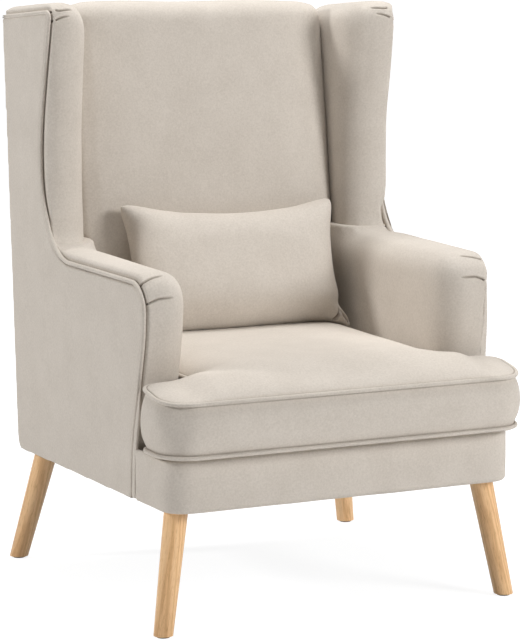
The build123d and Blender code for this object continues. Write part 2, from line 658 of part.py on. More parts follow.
# Back frame: rails between the back posts
posts = [parts["left_back_post"], parts["right_back_post"]]
rail_rear = BACK_FRAME_DEPTH - RAIL_THICK
top_rail = raked_slab(BACK_FRAME_DEPTH, rail_rear, top_rail_bottom, BACK_FRAME_TOP, -back_reach, back_reach)
tuck_rail = raked_slab(BACK_FRAME_DEPTH, rail_rear, TUCK_RAIL_BOTTOM, tuck_rail_top, -back_reach, back_reach)
add("back_top_rail", top_rail - posts)
add("back_tuck_rail", tuck_rail - posts)

# Outer back panel, let in between the side panels
outer_back_half = side_face(REAR_FOOT, SIDE_PANEL_THICK) + SIDE_PANEL_THICK
outer_back = raked_slab(OUTER_BACK_THICK, BACK_FOLD_INSET, rail_bottom, BACK_FRAME_TOP,
                        -outer_back_half, outer_back_half)
outside = span(panel_inner, BIG, -BIG, BIG, -BIG, BIG)
add("outer_back", outer_back - on_left(outside) - on_right(outside))

# Inner back cushion: crowned between the wings, folded over the top of the back frame
back_bottom = DECK_TOP
pad_rear = BACK_FRAME_DEPTH + WEB_THICK + SOFT_GAP
fold_bottom = BACK_FRAME_TOP + SOFT_GAP


def back_section(x, share, top_round):
    """Profile of the inner back at x, its front and its top fallen away by a share of their drops."""
    fall = BACK_EDGE_DROP * share
    top = BACK_TOP - BACK_TOP_DROP * share
    corners = [
        (back_front(back_bottom) + fall, back_bottom),
        (rear_line(back_bottom) - pad_rear, back_bottom),
        (rear_line(BACK_FRAME_TOP) - pad_rear, fold_bottom),
        (rear_line(BACK_FRAME_TOP) - BACK_FOLD_INSET, fold_bottom),
        (rear_line(top) - BACK_TOP_INSET, top - BACK_TOP_SLOPE),
        (back_front(top) + fall, top),
    ]
    radii = [BACK_LOW_ROUND, LEAST_RADIUS, 0, BACK_FOLD_ROUND, BACK_REAR_ROUND, top_round]
    return make_face(Plane.YZ.offset(x) * FilletPolyline(*corners, radius=radii, close=True))


back_right = [
    back_section(BACK_HALF_WIDTH * place, share, rounding) for place, share, rounding in BACK_STATIONS
]
back_left = [mirror(section, about=Plane.YZ) for section in reversed(back_right)]
beside_arm = span(arm_inner - SOFT_GAP, BIG, -BIG, BIG, 0, ARM_SEAM_HEIGHT + SOFT_GAP)
beside_wing = on_right(span(pad_inner - BACK_WING_GAP, BIG, -BIG, BIG, 0, BIG))
beside_right = beside_arm + beside_wing
back_cushion = loft(back_left + back_right, ruled=True) - beside_right - mirror(beside_right, about=Plane.YZ)
add("back_cushion", back_cushion)

# Loose T-shaped seat cushion: foam core, wrapped cover with a crown, piping in both seams
cushion_half = side_face(CUSHION_FRONT) + CUSHION_OVERHANG
cushion_gap = max(CUSHION_PIPING_RADIUS, CUSHION_BELLY) + SEAM_GAP
cushion_corners = t_corners(CUSHION_FRONT, CUSHION_EAR_REAR, CUSHION_REAR, cushion_half, cushion_gap)
cushion_radii = t_radii(CUSHION_CORNER, CUSHION_EAR_CORNER, CUSHION_STEP_CORNER)
seam_in = -CUSHION_PIPING_RADIUS - SOFT_GAP
seam_half = CUSHION_PIPING_RADIUS + SOFT_GAP
cushion_middle = (CUSHION_BOTTOM_SEAM + CUSHION_TOP_SEAM) / 2
cushion_bottom = DECK_TOP + SOFT_GAP
cushion_swell = CUSHION_BELLY * CUSHION_BELLY_SHARE
cushion_levels = [
    (cushion_bottom, -CUSHION_UNDER_INSET),
    (CUSHION_BOTTOM_SEAM - seam_half, seam_in),
    (CUSHION_BOTTOM_SEAM + seam_half, seam_in),
    (between(CUSHION_BOTTOM_SEAM, cushion_middle, 0.5), cushion_swell),
    (cushion_middle, CUSHION_BELLY),
    (between(CUSHION_TOP_SEAM, cushion_middle, 0.5), cushion_swell),
    (CUSHION_TOP_SEAM - seam_half, seam_in),
    (CUSHION_TOP_SEAM + seam_half, seam_in),
]
cushion_levels += [(CUSHION_TOP_SEAM + CUSHION_CROWN * share, -inset) for share, inset in CROWN_PROFILE]
cushion_sections = [
    make_face(Pos(0, 0, height) * rounded_outline(cushion_corners, cushion_radii, grow))
    for height, grow in cushion_levels
]
cushion_form = loft(cushion_sections, ruled=True)
core_bottom = CUSHION_BOTTOM_SEAM + seam_half
core_top = CUSHION_TOP_SEAM - seam_half
core_wire = Pos(0, 0, core_bottom) * rounded_outline(cushion_corners, cushion_radii, -CUSHION_WRAP)
core = extrude(make_face(core_wire), amount=core_top - core_bottom, dir=(0, 0, 1))
add("seat_foam_core", core)
add("seat_cushion_cover", cushion_form - core)
for name, height in (("seat_top_piping", CUSHION_TOP_SEAM), ("seat_bottom_piping", CUSHION_BOTTOM_SEAM)):
    seam = Pos(0, 0, height) * rounded_outline(cushion_corners, cushion_radii)
    seam_start = Plane(origin=seam @ 0, z_dir=seam % 0)
    add(name, sweep(seam_start * Circle(CUSHION_PIPING_RADIUS), path=seam))


# Lumbar pillow: knife-edge cover with drawn-in sides, leaning on the inner back
def pillow_ring(level, inset, draw, swell, shrink):
    """Four-sided ring of the pillow at a level, its edges drawn in by a share and swelled."""
    half_x = PILLOW_HALF_WIDTH - inset - shrink
    half_y = PILLOW_HALF_HEIGHT - inset - shrink
    end = half_x - PILLOW_END_DRAW * draw + swell
    foot = half_y - PILLOW_FOOT_DRAW * draw + swell
    top = half_y - PILLOW_TOP_DRAW * draw + swell
    corners = [(-half_x, -half_y), (half_x, -half_y), (half_x, half_y), (-half_x, half_y)]
    middles = [(0, -foot), (end, 0), (0, top), (-end, 0)]
    sides = [
        ThreePointArc(corners[index], middles[index], corners[(index + 1) % 4]) for index in range(4)
    ]
    return Pos(0, 0, level) * make_face(sides)


def pillow_form(shrink):
    half_thick = PILLOW_HALF_THICK - shrink
    below = [(-row[0],) + row[1:] for row in reversed(PILLOW_PROFILE[1:])]
    rings = [pillow_ring(row[0] * half_thick, *row[1:], shrink) for row in below + PILLOW_PROFILE]
    return loft(rings, ruled=True)


seat_top = CUSHION_TOP_SEAM + CUSHION_CROWN
lean = radians(PILLOW_LEAN)
roll = radians(PILLOW_ROLL)
pillow_reach = PILLOW_HALF_HEIGHT * cos(roll) + PILLOW_HALF_WIDTH * sin(roll)
pillow_height = seat_top + SOFT_GAP + pillow_reach * cos(lean)
# The pillow comes back until the first of its rings reaches the inner back
pillow_depths = []
for share, inset, draw, swell in PILLOW_PROFILE:
    ring_reach = PILLOW_HALF_HEIGHT - inset + max(swell - PILLOW_TOP_DRAW * draw, 0)
    ring_level = PILLOW_HALF_THICK * share
    ring_height = pillow_height - ring_level * sin(lean) + ring_reach * cos(lean)
    behind_middle = ring_level * cos(lean) + ring_reach * sin(lean)
    pillow_depths.append(back_front(ring_height) - behind_middle)
pillow_depth = min(pillow_depths) - PILLOW_BACK_GAP
pillow_turn = Rot(90 - PILLOW_LEAN, 0, 0) * Rot(0, 0, -PILLOW_ROLL)
pillow_place = Pos(PILLOW_CENTRE_X, pillow_depth, pillow_height) * pillow_turn
pillow_fill = pillow_form(PILLOW_COVER)
add("pillow_fill", pillow_place * pillow_fill)
add("pillow_cover", pillow_place * (pillow_form(0.0) - pillow_fill))

for name, shape in parts.items():
    export_step(shape, os.path.join("parts", name + ".step"))
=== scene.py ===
import bmesh
import bpy
import math
import numpy as np
from mathutils import Matrix, Vector, noise
from mathutils.bvhtree import BVHTree
from mathutils.kdtree import KDTree


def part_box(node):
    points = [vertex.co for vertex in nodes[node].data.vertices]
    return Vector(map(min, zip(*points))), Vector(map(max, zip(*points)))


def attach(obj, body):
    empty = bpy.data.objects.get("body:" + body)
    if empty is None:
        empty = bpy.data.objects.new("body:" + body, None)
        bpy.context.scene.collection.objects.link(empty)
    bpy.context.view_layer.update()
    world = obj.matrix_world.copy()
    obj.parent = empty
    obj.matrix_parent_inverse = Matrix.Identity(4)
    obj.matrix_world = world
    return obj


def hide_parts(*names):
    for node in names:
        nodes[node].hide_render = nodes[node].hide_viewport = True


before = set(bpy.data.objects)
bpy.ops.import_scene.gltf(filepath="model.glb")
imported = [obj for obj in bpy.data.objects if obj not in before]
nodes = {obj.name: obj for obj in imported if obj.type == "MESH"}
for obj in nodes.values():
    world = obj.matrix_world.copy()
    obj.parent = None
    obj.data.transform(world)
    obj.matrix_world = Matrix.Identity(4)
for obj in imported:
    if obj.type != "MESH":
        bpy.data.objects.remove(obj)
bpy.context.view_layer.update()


# The hidden frame: sawn softwood boards, doweled and glued.
# Posts and rails of both sides, seat rails and back rails, each with its grain along the board.
def feed(tree, node, terms):
    """Gives each named socket of a node a number, a colour, or what another node works out."""
    for name, term in terms.items():
        if isinstance(term, (float, tuple)):
            node.inputs[name].default_value = term
        else:
            tree.links.new(term, node.inputs[name])
    return node


def node_of(tree, kind, terms):
    """A new node with its sockets fed."""
    return feed(tree, tree.nodes.new("ShaderNode" + kind), terms)


def new_material(name):
    """A new finish: its node tree, its shader, and the place on the piece that its patterns read."""
    material = bpy.data.materials.new(name)
    material.use_nodes = True
    tree = material.node_tree
    spot = tree.nodes.new("ShaderNodeTexCoord").outputs["Object"]
    return material, tree, tree.nodes["Principled BSDF"], spot


def ramp_of(tree, value, stops):
    """The colour that a value picks from a ramp of places and colours."""
    ramp = node_of(tree, "ValToRGB", {"Fac": value})
    while len(ramp.color_ramp.elements) < len(stops):
        ramp.color_ramp.elements.new(0.5)
    for element, (place, colour) in zip(ramp.color_ramp.elements, stops):
        element.position = place
        element.color = (*colour, 1.0)
    return ramp.outputs["Color"]


def noise_of(tree, vector, scale, detail, roughness):
    terms = {"Vector": vector, "Scale": scale, "Detail": detail, "Roughness": roughness}
    return node_of(tree, "TexNoise", terms).outputs["Fac"]


def wave_of(tree, vector, direction, scale, distortion=0.0, detail=2.0, detail_scale=1.0):
    wave = node_of(tree, "TexWave", {"Vector": vector, "Scale": scale, "Distortion": distortion})
    wave.bands_direction = direction
    return feed(tree, wave, {"Detail": detail, "Detail Scale": detail_scale}).outputs["Fac"]


def mixed(tree, blend, amount, below, above):
    """Two colours put together."""
    mix = tree.nodes.new("ShaderNodeMix")
    mix.data_type = "RGBA"
    mix.blend_type = blend
    return feed(tree, mix, {"Factor": amount, "A": below, "B": above}).outputs["Result"]


def bumped(tree, height, distance, strength):
    terms = {"Height": height, "Distance": distance, "Strength": strength}
    return node_of(tree, "Bump", terms).outputs["Normal"]


def grain_wood(name, turn, light, mid, dark, band, roughness):
    """Wood whose grain runs along Z after the object's coordinates are turned."""
    material, tree, shader, spot = new_material(name)
    lay = node_of(tree, "Mapping", {"Vector": spot, "Rotation": turn}).outputs["Vector"]
    stretch = node_of(tree, "Mapping", {"Vector": lay, "Scale": (1.0, 1.0, GRAIN_STRETCH)})
    grain = stretch.outputs["Vector"]
    rings = wave_of(tree, grain, "DIAGONAL", band, distortion=7.0, detail=3.0, detail_scale=1.4)
    pores = noise_of(tree, grain, 900.0, 3.0, 0.6)
    broad = noise_of(tree, grain, 40.0, 3.0, 0.55)
    figure = ramp_of(tree, rings, [(0.0, dark), (0.42, mid), (1.0, light)])
    flecks = ramp_of(tree, pores, [(0.30, (0.72, 0.64, 0.54)), (0.46, (1.0, 1.0, 1.0))])
    shade = ramp_of(tree, broad, [(0.25, (0.86, 0.82, 0.78)), (0.7, (1.04, 1.03, 1.0))])
    flecked = mixed(tree, "MULTIPLY", 1.0, figure, flecks)
    colour = mixed(tree, "MULTIPLY", 1.0, flecked, shade)
    normal = bumped(tree, pores, 0.0004, 0.35)
    feed(tree, shader, {"Base Color": colour, "Roughness": roughness, "Normal": normal})
    return material


def put_on(piece, material):
    piece.data.materials.clear()
    piece.data.materials.append(material)


def dress(node_name, material):
    """Puts a finish on a CAD node."""
    put_on(nodes[node_name], material)


GRAIN_STRETCH = 0.07
PINE_RINGS = 26.0
PINE_ROUGHNESS = 0.75
QUARTER_TURN = math.pi / 2
PINE = ((0.62, 0.46, 0.28), (0.54, 0.38, 0.22), (0.42, 0.28, 0.15))
upright_pine = grain_wood("sawn_pine_upright", (0, 0, 0), *PINE, PINE_RINGS, PINE_ROUGHNESS)
across_pine = grain_wood("sawn_pine_across", (0, QUARTER_TURN, 0), *PINE, PINE_RINGS, PINE_ROUGHNESS)
along_pine = grain_wood("sawn_pine_along", (QUARTER_TURN, 0, 0), *PINE, PINE_RINGS, PINE_ROUGHNESS)
for side in ("left", "right"):
    for post in ("_arm_post", "_wing_post", "_back_post"):
        dress(side + post, upright_pine)
    for rail in ("_arm_rail", "_wing_top_rail", "_side_rail"):
        dress(side + rail, along_pine)
for name in ("front_rail", "rear_rail", "back_top_rail", "back_tuck_rail"):
    dress(name, across_pine)
dress("corner_blocks", upright_pine)
dress("frame_dowels", across_pine)


# Elastic webbing: flat straps of woven rubber and yarn, tacked across the back posts.
# Each strap has fine ribs across it and a paler stripe along it.
WEBBING_TONES = [(0.1, (0.05, 0.05, 0.045)), (0.85, (0.11, 0.105, 0.095)), (0.97, (0.30, 0.28, 0.24))]


def ribbed_webbing():
    material, tree, shader, spot = new_material("elastic_webbing")
    ribs = wave_of(tree, spot, "X", 160.0, distortion=0.4)
    tint = ramp_of(tree, wave_of(tree, spot, "Z", 12.0), WEBBING_TONES)
    feed(tree, shader, {"Base Color": tint, "Roughness": 0.9, "Normal": bumped(tree, ribs, 0.0006, 0.6)})
    return material


dress("back_webbing", ribbed_webbing())


# Seat springs: sinuous steel wire hooked in folded clips on the front and rear rails.
# The wire is oiled and dark; the clips are zinc plated, with a cloudy spangle.
def plated_steel(name, light, dark, cloud, roughness):
    material, tree, shader, spot = new_material(name)
    spangle = noise_of(tree, spot, cloud, 4.0, 0.6)
    tint = ramp_of(tree, spangle, [(0.35, dark), (0.65, light)])
    normal = bumped(tree, spangle, 0.0002, 0.2)
    feed(tree, shader, {"Base Color": tint, "Metallic": 1.0, "Roughness": roughness, "Normal": normal})
    return material


spring_wire = plated_steel("oiled_spring_wire", (0.34, 0.34, 0.35), (0.16, 0.155, 0.15), 240.0, 0.42)
zinc_plate = plated_steel("zinc_plate", (0.72, 0.72, 0.74), (0.52, 0.53, 0.55), 320.0, 0.36)
dress("seat_springs", spring_wire)
dress("spring_clips", zinc_plate)


# Seat deck: a thin pad over the springs, seen only when the loose cushion is pulled out.
# Plain deck cloth, with a border of the chair's own cloth sewn along the front.
def piece_from(name, work):
    """A new piece from what was worked."""
    mesh = bpy.data.meshes.new(name)
    work.to_mesh(mesh)
    work.free()
    piece = bpy.data.objects.new(name, mesh)
    bpy.context.scene.collection.objects.link(piece)
    return piece


def free_copy(name, node_name):
    """A new piece from a CAD node's mesh, its loose triangles joined."""
    work = bmesh.new()
    work.from_mesh(nodes[node_name].data)
    bmesh.ops.remove_doubles(work, verts=work.verts, dist=0.00002)
    return piece_from(name, work)


def bake(piece):
    """Works the piece's modifiers into its mesh."""
    bpy.context.view_layer.update()
    graph = bpy.context.evaluated_depsgraph_get()
    mesh = bpy.data.meshes.new_from_object(piece.evaluated_get(graph))
    mesh.name = piece.name
    piece.modifiers.clear()
    piece.data = mesh
    return piece


def points_of(piece):
    flat = np.empty(len(piece.data.vertices) * 3)
    piece.data.vertices.foreach_get("co", flat)
    return flat.reshape(-1, 3)


def normals_of(piece):
    flat = np.empty(len(piece.data.vertices) * 3)
    piece.data.vertex_normals.foreach_get("vector", flat)
    return flat.reshape(-1, 3)


def put_points(piece, points):
    piece.data.vertices.foreach_set("co", np.ascontiguousarray(points).ravel())
    piece.data.update()


def knit(piece, voxel, easing):
    """Lays an even net of small cells over the form and eases its edges."""
    net = piece.modifiers.new("net", "REMESH")
    net.mode = "VOXEL"
    net.voxel_size = voxel
    bake(piece)
    ease = piece.modifiers.new("ease", "SMOOTH")
    ease.factor = 0.5
    ease.iterations = easing
    bake(piece)
    return piece


def halve(piece):
    """One subdivision of the net, worked in."""
    finer = piece.modifiers.new("finer", "SUBSURF")
    finer.levels = 1
    finer.render_levels = 1
    bake(piece)
    piece.data.shade_smooth()
    return piece


def ripple(piece, size, height, seed):
    """A faint unevenness of the filling under the cloth."""
    points = points_of(piece)
    normals = normals_of(piece)
    shift = Vector((seed * 7.3, seed * 3.1, seed * 1.7))
    rise = np.array([noise.noise(Vector(point) / size + shift) for point in points])
    put_points(piece, points + normals * (rise * height)[:, None])


def reckon(tree, operation, *terms):
    """The result of a sum in the shader."""
    node = tree.nodes.new("ShaderNodeMath")
    node.operation = operation
    return feed(tree, node, dict(enumerate(terms))).outputs["Value"]


DECK_BORDER = -0.225
DECK_SEAM_WIDTH = 0.006
DECK_SEAM_DEPTH = 0.0035
DECK_THREADS = 300.0
BORDER_CLOTH = (0.57, 0.50, 0.425, 1.0)


def deck_cloth():
    """Plain weave, with the border of the chair's cloth in front of the seam."""
    material, tree, shader, spot = new_material("deck_cloth")
    across = wave_of(tree, spot, "X", DECK_THREADS)
    along = wave_of(tree, spot, "Y", DECK_THREADS)
    cloud = noise_of(tree, spot, 26.0, 4.0, 0.6)
    plain = ramp_of(tree, cloud, [(0.3, (0.38, 0.34, 0.29)), (0.7, (0.46, 0.42, 0.36))])
    depth = node_of(tree, "SeparateXYZ", {"Vector": spot}).outputs["Y"]
    in_front = reckon(tree, "LESS_THAN", depth, DECK_BORDER)
    colour = mixed(tree, "MIX", in_front, plain, BORDER_CLOTH)
    normal = bumped(tree, reckon(tree, "MULTIPLY", across, along), 0.0003, 0.5)
    feed(tree, shader, {"Base Color": colour, "Roughness": 0.92, "Normal": normal})
    return material


seat_deck = knit(free_copy("seat_deck_pad", "seat_deck"), voxel=0.005, easing=3)
halve(seat_deck)
deck_points = points_of(seat_deck)
deck_low, deck_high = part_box("seat_deck")
seam_pull = np.exp(-((deck_points[:, 1] - DECK_BORDER) / DECK_SEAM_WIDTH) ** 2)
upper = np.clip((deck_points[:, 2] - deck_low.z) / (deck_high.z - deck_low.z), 0, 1)
deck_points[:, 2] -= upper * seam_pull * DECK_SEAM_DEPTH
put_points(seat_deck, deck_points)
put_on(seat_deck, deck_cloth())
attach(seat_deck, "chair")
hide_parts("seat_deck")


# Padded arms and wings: foam over the side frames under brushed cloth, drawn tight and sewn to the piping.
# The cloth is eased round the corners with short darts; arm and wing meet in a seam.
# Both sides are sewn to one pattern; they differ in their roll over the piping and the wing's height.
CLOTH_LIGHT = (0.662, 0.604, 0.538)
CLOTH_MID = (0.620, 0.563, 0.499)
CLOTH_DARK = (0.577, 0.521, 0.458)
# Painted shade: the cloth's colour is multiplied by this where the crevices of seams and darts are marked.
PAINTED_CREASE_SHADE = (0.48, 0.45, 0.42, 1.0)
CLOUD_SHARE = 0.35
NAP_SHARE = 0.65


def brushed_cloth(name):
    """Short-pile upholstery cloth: clouded nap, fine fibres, a soft sheen, and painted shade in the crevices
    of seams and darts.
    """
    material, tree, shader, spot = new_material(name)
    cloud = noise_of(tree, spot, 16.0, 4.0, 0.62)
    nap = noise_of(tree, spot, 300.0, 2.0, 0.6)
    fibre = noise_of(tree, spot, 1500.0, 2.0, 0.6)
    blend = reckon(tree, "MULTIPLY_ADD", nap, NAP_SHARE, reckon(tree, "MULTIPLY", cloud, CLOUD_SHARE))
    tint = ramp_of(tree, blend, [(0.36, CLOTH_DARK), (0.5, CLOTH_MID), (0.64, CLOTH_LIGHT)])
    # Painted shade: a point attribute marks the crevices beside cords and in darts, and darkens the colour
    # there.
    painted_crease_shade = tree.nodes.new("ShaderNodeAttribute")
    painted_crease_shade.attribute_name = "painted_crease_shade"
    rough = node_of(tree, "MapRange", {"Value": nap, "To Min": 0.82, "To Max": 0.98})
    pile = reckon(tree, "MULTIPLY_ADD", fibre, 0.5, nap)
    feed(tree, shader, {
        "Base Color": mixed(tree, "MULTIPLY", painted_crease_shade.outputs["Fac"], tint, PAINTED_CREASE_SHADE),
        "Roughness": rough.outputs["Result"],
        "Specular IOR Level": 0.2,
        "Sheen Weight": 0.22,
        "Sheen Roughness": 0.45,
        "Sheen Tint": (1.0, 0.95, 0.88, 1.0),
        "Normal": bumped(tree, pile, 0.0008, 0.22),
    })
    return material


def net_tree(pieces):
    """A search tree over the surfaces of several pieces."""
    corners = []
    faces = []
    for piece in pieces:
        start = len(corners)
        corners += [vertex.co.copy() for vertex in piece.data.vertices]
        faces += [[start + index for index in face.vertices] for face in piece.data.polygons]
    return BVHTree.FromPolygons(corners, faces)


RAY_START = 0.002


def room_ahead(piece, neighbours, reach):
    """How far each point could go along its normal before it meets a neighbour or its own piece."""
    around = net_tree([nodes[name] for name in neighbours])
    own = net_tree([piece])
    points = points_of(piece)
    normals = normals_of(piece)
    room = np.full(len(points), reach)
    for index, (point, normal) in enumerate(zip(points, normals)):
        start = Vector(point)
        ahead = Vector(normal)
        near = around.ray_cast(start - ahead * RAY_START, ahead, reach)
        if near[0] is not None:
            room[index] = min(room[index], near[3] - RAY_START)
        back = own.ray_cast(start + ahead * RAY_START, ahead, reach)
        if back[0] is not None:
            room[index] = min(room[index], back[3] / 2)
    return np.clip(room, 0.0, reach)


def even_out(piece, values, rounds, keep_low=False):
    """Spreads a value over the net so that it changes gently."""
    pairs = np.empty(len(piece.data.edges) * 2, dtype=np.int64)
    piece.data.edges.foreach_get("vertices", pairs)
    pairs = pairs.reshape(-1, 2)
    count = np.maximum(np.bincount(pairs.ravel(), minlength=len(values)), 1)
    for _ in range(rounds):
        total = np.bincount(pairs[:, 0], values[pairs[:, 1]], len(values))
        total += np.bincount(pairs[:, 1], values[pairs[:, 0]], len(values))
        mean = total / count
        values = np.minimum(values, mean) if keep_low else (values + mean) / 2
    return values


EASE_STRIDE = 5
FULLNESS_ROUNDS = 80


def ease_form(piece, free, rounds):
    """Rounds off the flats between the lines of the form, and keeps the padding as full as before."""
    before = points_of(piece)
    normals = normals_of(piece)
    points = before.copy()
    for _ in range(rounds // EASE_STRIDE):
        mean = np.column_stack([even_out(piece, points[:, axis], EASE_STRIDE) for axis in range(3)])
        points += free[:, None] * (mean - points)
    loss = even_out(piece, np.sum((before - points) * normals, axis=1), FULLNESS_ROUNDS)
    put_points(piece, points + normals * (free * loss)[:, None])


def near_cords(points, node_names, reach, chosen=None):
    """For each point near the cords: its index and place, the nearest spot on a cord, the normal, the gap."""
    cords = net_tree([nodes[name] for name in node_names])
    for index in range(len(points)) if chosen is None else chosen:
        here = Vector(points[index])
        spot, normal, _, gap = cords.find_nearest(here, reach)
        if spot is not None:
            yield index, here, spot, normal, gap


COVER_EASING = 2
COVER_REACH = 0.05
COVER_CLEARANCE = 0.0006
COVER_ROOM_SHARE = 0.8
HELD_BELOW = 0.0008
SWELL_STEPS = 20
COVER_CLOTH = {
    "quality": 4, "mass": 0.3, "tension_stiffness": 12.0, "compression_stiffness": 12.0,
    "shear_stiffness": 4.0, "bending_stiffness": 0.4, "vertex_group_mass": "held", "use_pressure": True,
}


def swell(piece, neighbours, cap, pressure, cell, seams=()):
    """Fills the cloth: a coarse cover is simulated under pressure, and the piece takes on its rise."""
    scene = bpy.context.scene
    cover = bpy.data.objects.new("cover", piece.data.copy())
    scene.collection.objects.link(cover)
    knit(cover, cell, COVER_EASING)
    rest = points_of(cover)
    ahead = normals_of(cover)
    room = room_ahead(cover, neighbours, COVER_REACH) - COVER_CLEARANCE
    limit = np.clip(room * COVER_ROOM_SHARE, 0.0, cap)
    if seams:
        held = [index for index, *_ in near_cords(rest, seams, cell)]
        limit[held] = 0.0
    limit = even_out(cover, limit, 4, keep_low=True)
    group = cover.vertex_groups.new(name="held")
    group.add([int(index) for index in np.nonzero(limit < HELD_BELOW)[0]], 1.0, "REPLACE")
    drape = cover.modifiers.new("cloth", "CLOTH")
    for name, value in COVER_CLOTH.items():
        setattr(drape.settings, name, value)
    drape.settings.uniform_pressure_force = pressure
    drape.settings.effector_weights.gravity = 0.0
    drape.point_cache.frame_start = 1
    drape.point_cache.frame_end = SWELL_STEPS
    for step in range(1, SWELL_STEPS + 1):
        scene.frame_set(step)
    graph = bpy.context.evaluated_depsgraph_get()
    swollen = bpy.data.meshes.new_from_object(cover.evaluated_get(graph))
    flat = np.empty(len(swollen.vertices) * 3)
    swollen.vertices.foreach_get("co", flat)
    rise = np.sum((flat.reshape(-1, 3) - rest) * ahead, axis=1)
    rise = np.minimum(even_out(cover, np.clip(rise, 0.0, limit), 14), limit)
    rise = even_out(cover, rise, 3)
    finder = KDTree(len(rest))
    for index, point in enumerate(rest):
        finder.insert(point, index)
    finder.balance()
    points = points_of(piece)
    gain = np.empty(len(points))
    for index, point in enumerate(points):
        near = finder.find_n(point, 4)
        weights = [1.0 / (spot[2] + 0.0005) for spot in near]
        gain[index] = sum(rise[spot[1]] * weight for spot, weight in zip(near, weights)) / sum(weights)
    gain = even_out(piece, gain, 8)
    put_points(piece, points + normals_of(piece) * gain[:, None])
    scene.frame_set(1)
    bpy.data.meshes.remove(swollen)
    bpy.data.objects.remove(cover)


def smooth_share(values, start, end):
    """0 at the start, 1 at the end, and smooth between."""
    share = np.clip((values - start) / (end - start), 0.0, 1.0)
    return share * share * (3.0 - 2.0 * share)


def clear_of(piece, node_name, start, end):
    """0 beside a cord, 1 well away from it."""
    points = points_of(piece)
    away = np.full(len(points), end)
    for index, _, _, _, gap in near_cords(points, [node_name], end):
        away[index] = gap
    return smooth_share(away, start, end)


SEAM_PULL = 0.9


def meet_cord(piece, node_name, radius, reach):
    """Draws the edge of the cloth in to the cord that is sewn along it."""
    points = points_of(piece)
    for index, here, spot, normal, _ in near_cords(points, [node_name], reach):
        core = spot - normal * radius
        share = 1.0 - float(smooth_share((here - core).length, radius * 0.6, radius + reach))
        points[index] = here.lerp(core, SEAM_PULL * share)
    put_points(piece, points)


def paint_crease_shade(piece, node_names, reach):
    """Paints shade on the cloth in the crevice beside a cord: a point attribute that darkens its colour
    there.
    """
    painted_shade = np.zeros(len(piece.data.vertices))
    for index, here, spot, normal, gap in near_cords(points_of(piece), node_names, reach):
        under = (here - spot).dot(normal) < 0.0
        painted_shade[index] = 1.0 if under else 1.0 - gap / reach
    piece.data.attributes.new("painted_crease_shade", "FLOAT", "POINT").data.foreach_set("value", painted_shade)


def split_near(work, near):
    """Halves the edges between the given points."""
    edges = [edge for edge in work.edges if edge.verts[0] in near and edge.verts[1] in near]
    bmesh.ops.subdivide_edges(work, edges=edges, cuts=1, use_grid_fill=True)


def cut_up(work):
    """Cuts the faces of many sides into triangles."""
    bmesh.ops.triangulate(work, faces=[face for face in work.faces if len(face.verts) > 4])


def finer_near(piece, node_names, reach):
    """Makes the net finer beside the seams."""
    cords = net_tree([nodes[name] for name in node_names])
    work = bmesh.new()
    work.from_mesh(piece.data)
    split_near(work, {vertex for vertex in work.verts if cords.find_nearest(vertex.co, reach)[0] is not None})
    cut_up(work)
    work.to_mesh(piece.data)
    work.free()
    piece.data.shade_smooth()


def along_line(piece, corners, step):
    """Points along a bent line laid on the surface of a piece, the first and last included."""
    surface = net_tree([piece])
    laid = []
    for start, end in zip(corners[:-1], corners[1:]):
        start, end = Vector(start), Vector(end)
        count = max(1, round((end - start).length / step))
        laid += [start.lerp(end, index / count) for index in range(count)]
    laid.append(Vector(corners[-1]))
    for _ in range(4):
        middle = [(laid[i - 1] + laid[i] * 2 + laid[i + 1]) / 4 for i in range(1, len(laid) - 1)]
        laid[1:-1] = middle
    return np.array([surface.find_nearest(point)[0] for point in laid])


def beside(work, line, reach):
    """The points in the box round a line."""
    low = Vector(line.min(axis=0) - reach)
    high = Vector(line.max(axis=0) + reach)
    return [
        vertex for vertex in work.verts
        if low.x < vertex.co.x < high.x and low.y < vertex.co.y < high.y and low.z < vertex.co.z < high.z
    ]


DART_STEP = 0.002
DART_RIM = 0.15


def dart(piece, corners, depth, width):
    """A short sewn dart: the net is made finer along a line and drawn in, with the cloth full beside it, and
    shade painted into the dart's crevice.
    """
    line = along_line(piece, corners, DART_STEP)
    work = bmesh.new()
    work.from_mesh(piece.data)
    painted_shade = work.verts.layers.float.get("painted_crease_shade") or work.verts.layers.float.new("painted_crease_shade")
    for reach in (width * 4.0, width * 2.5):
        split_near(work, {
            vertex for vertex in beside(work, line, reach)
            if np.min(np.sum((line - np.array(vertex.co)) ** 2, axis=1)) < reach ** 2
        })
    cut_up(work)
    work.normal_update()
    places = np.linspace(0.0, 1.0, len(line))
    reach = width * 5.0
    for vertex in beside(work, line, reach):
        away = np.sum((line - np.array(vertex.co)) ** 2, axis=1)
        index = int(np.argmin(away))
        if away[index] < reach ** 2:
            fade = 1.0 - places[index] ** 6
            share = math.sqrt(away[index]) / width
            sunk = math.exp(-share ** 2) - DART_RIM * math.exp(-((share - 2.2) / 0.9) ** 2)
            vertex.co -= vertex.normal * depth * fade * sunk
            # Painted shade: the dart's crevice is marked so the cloth's colour is darkened there.
            vertex[painted_shade] = max(vertex[painted_shade], fade * math.exp(-share ** 2))
    work.to_mesh(piece.data)
    work.free()
    piece.data.shade_smooth()


def turned_over(piece, name):
    """The mirror image of a piece about the centre plane."""
    work = bmesh.new()
    work.from_mesh(piece.data)
    bmesh.ops.scale(work, vec=(-1, 1, 1), verts=work.verts)
    bmesh.ops.reverse_faces(work, faces=work.faces)
    return piece_from(name, work)


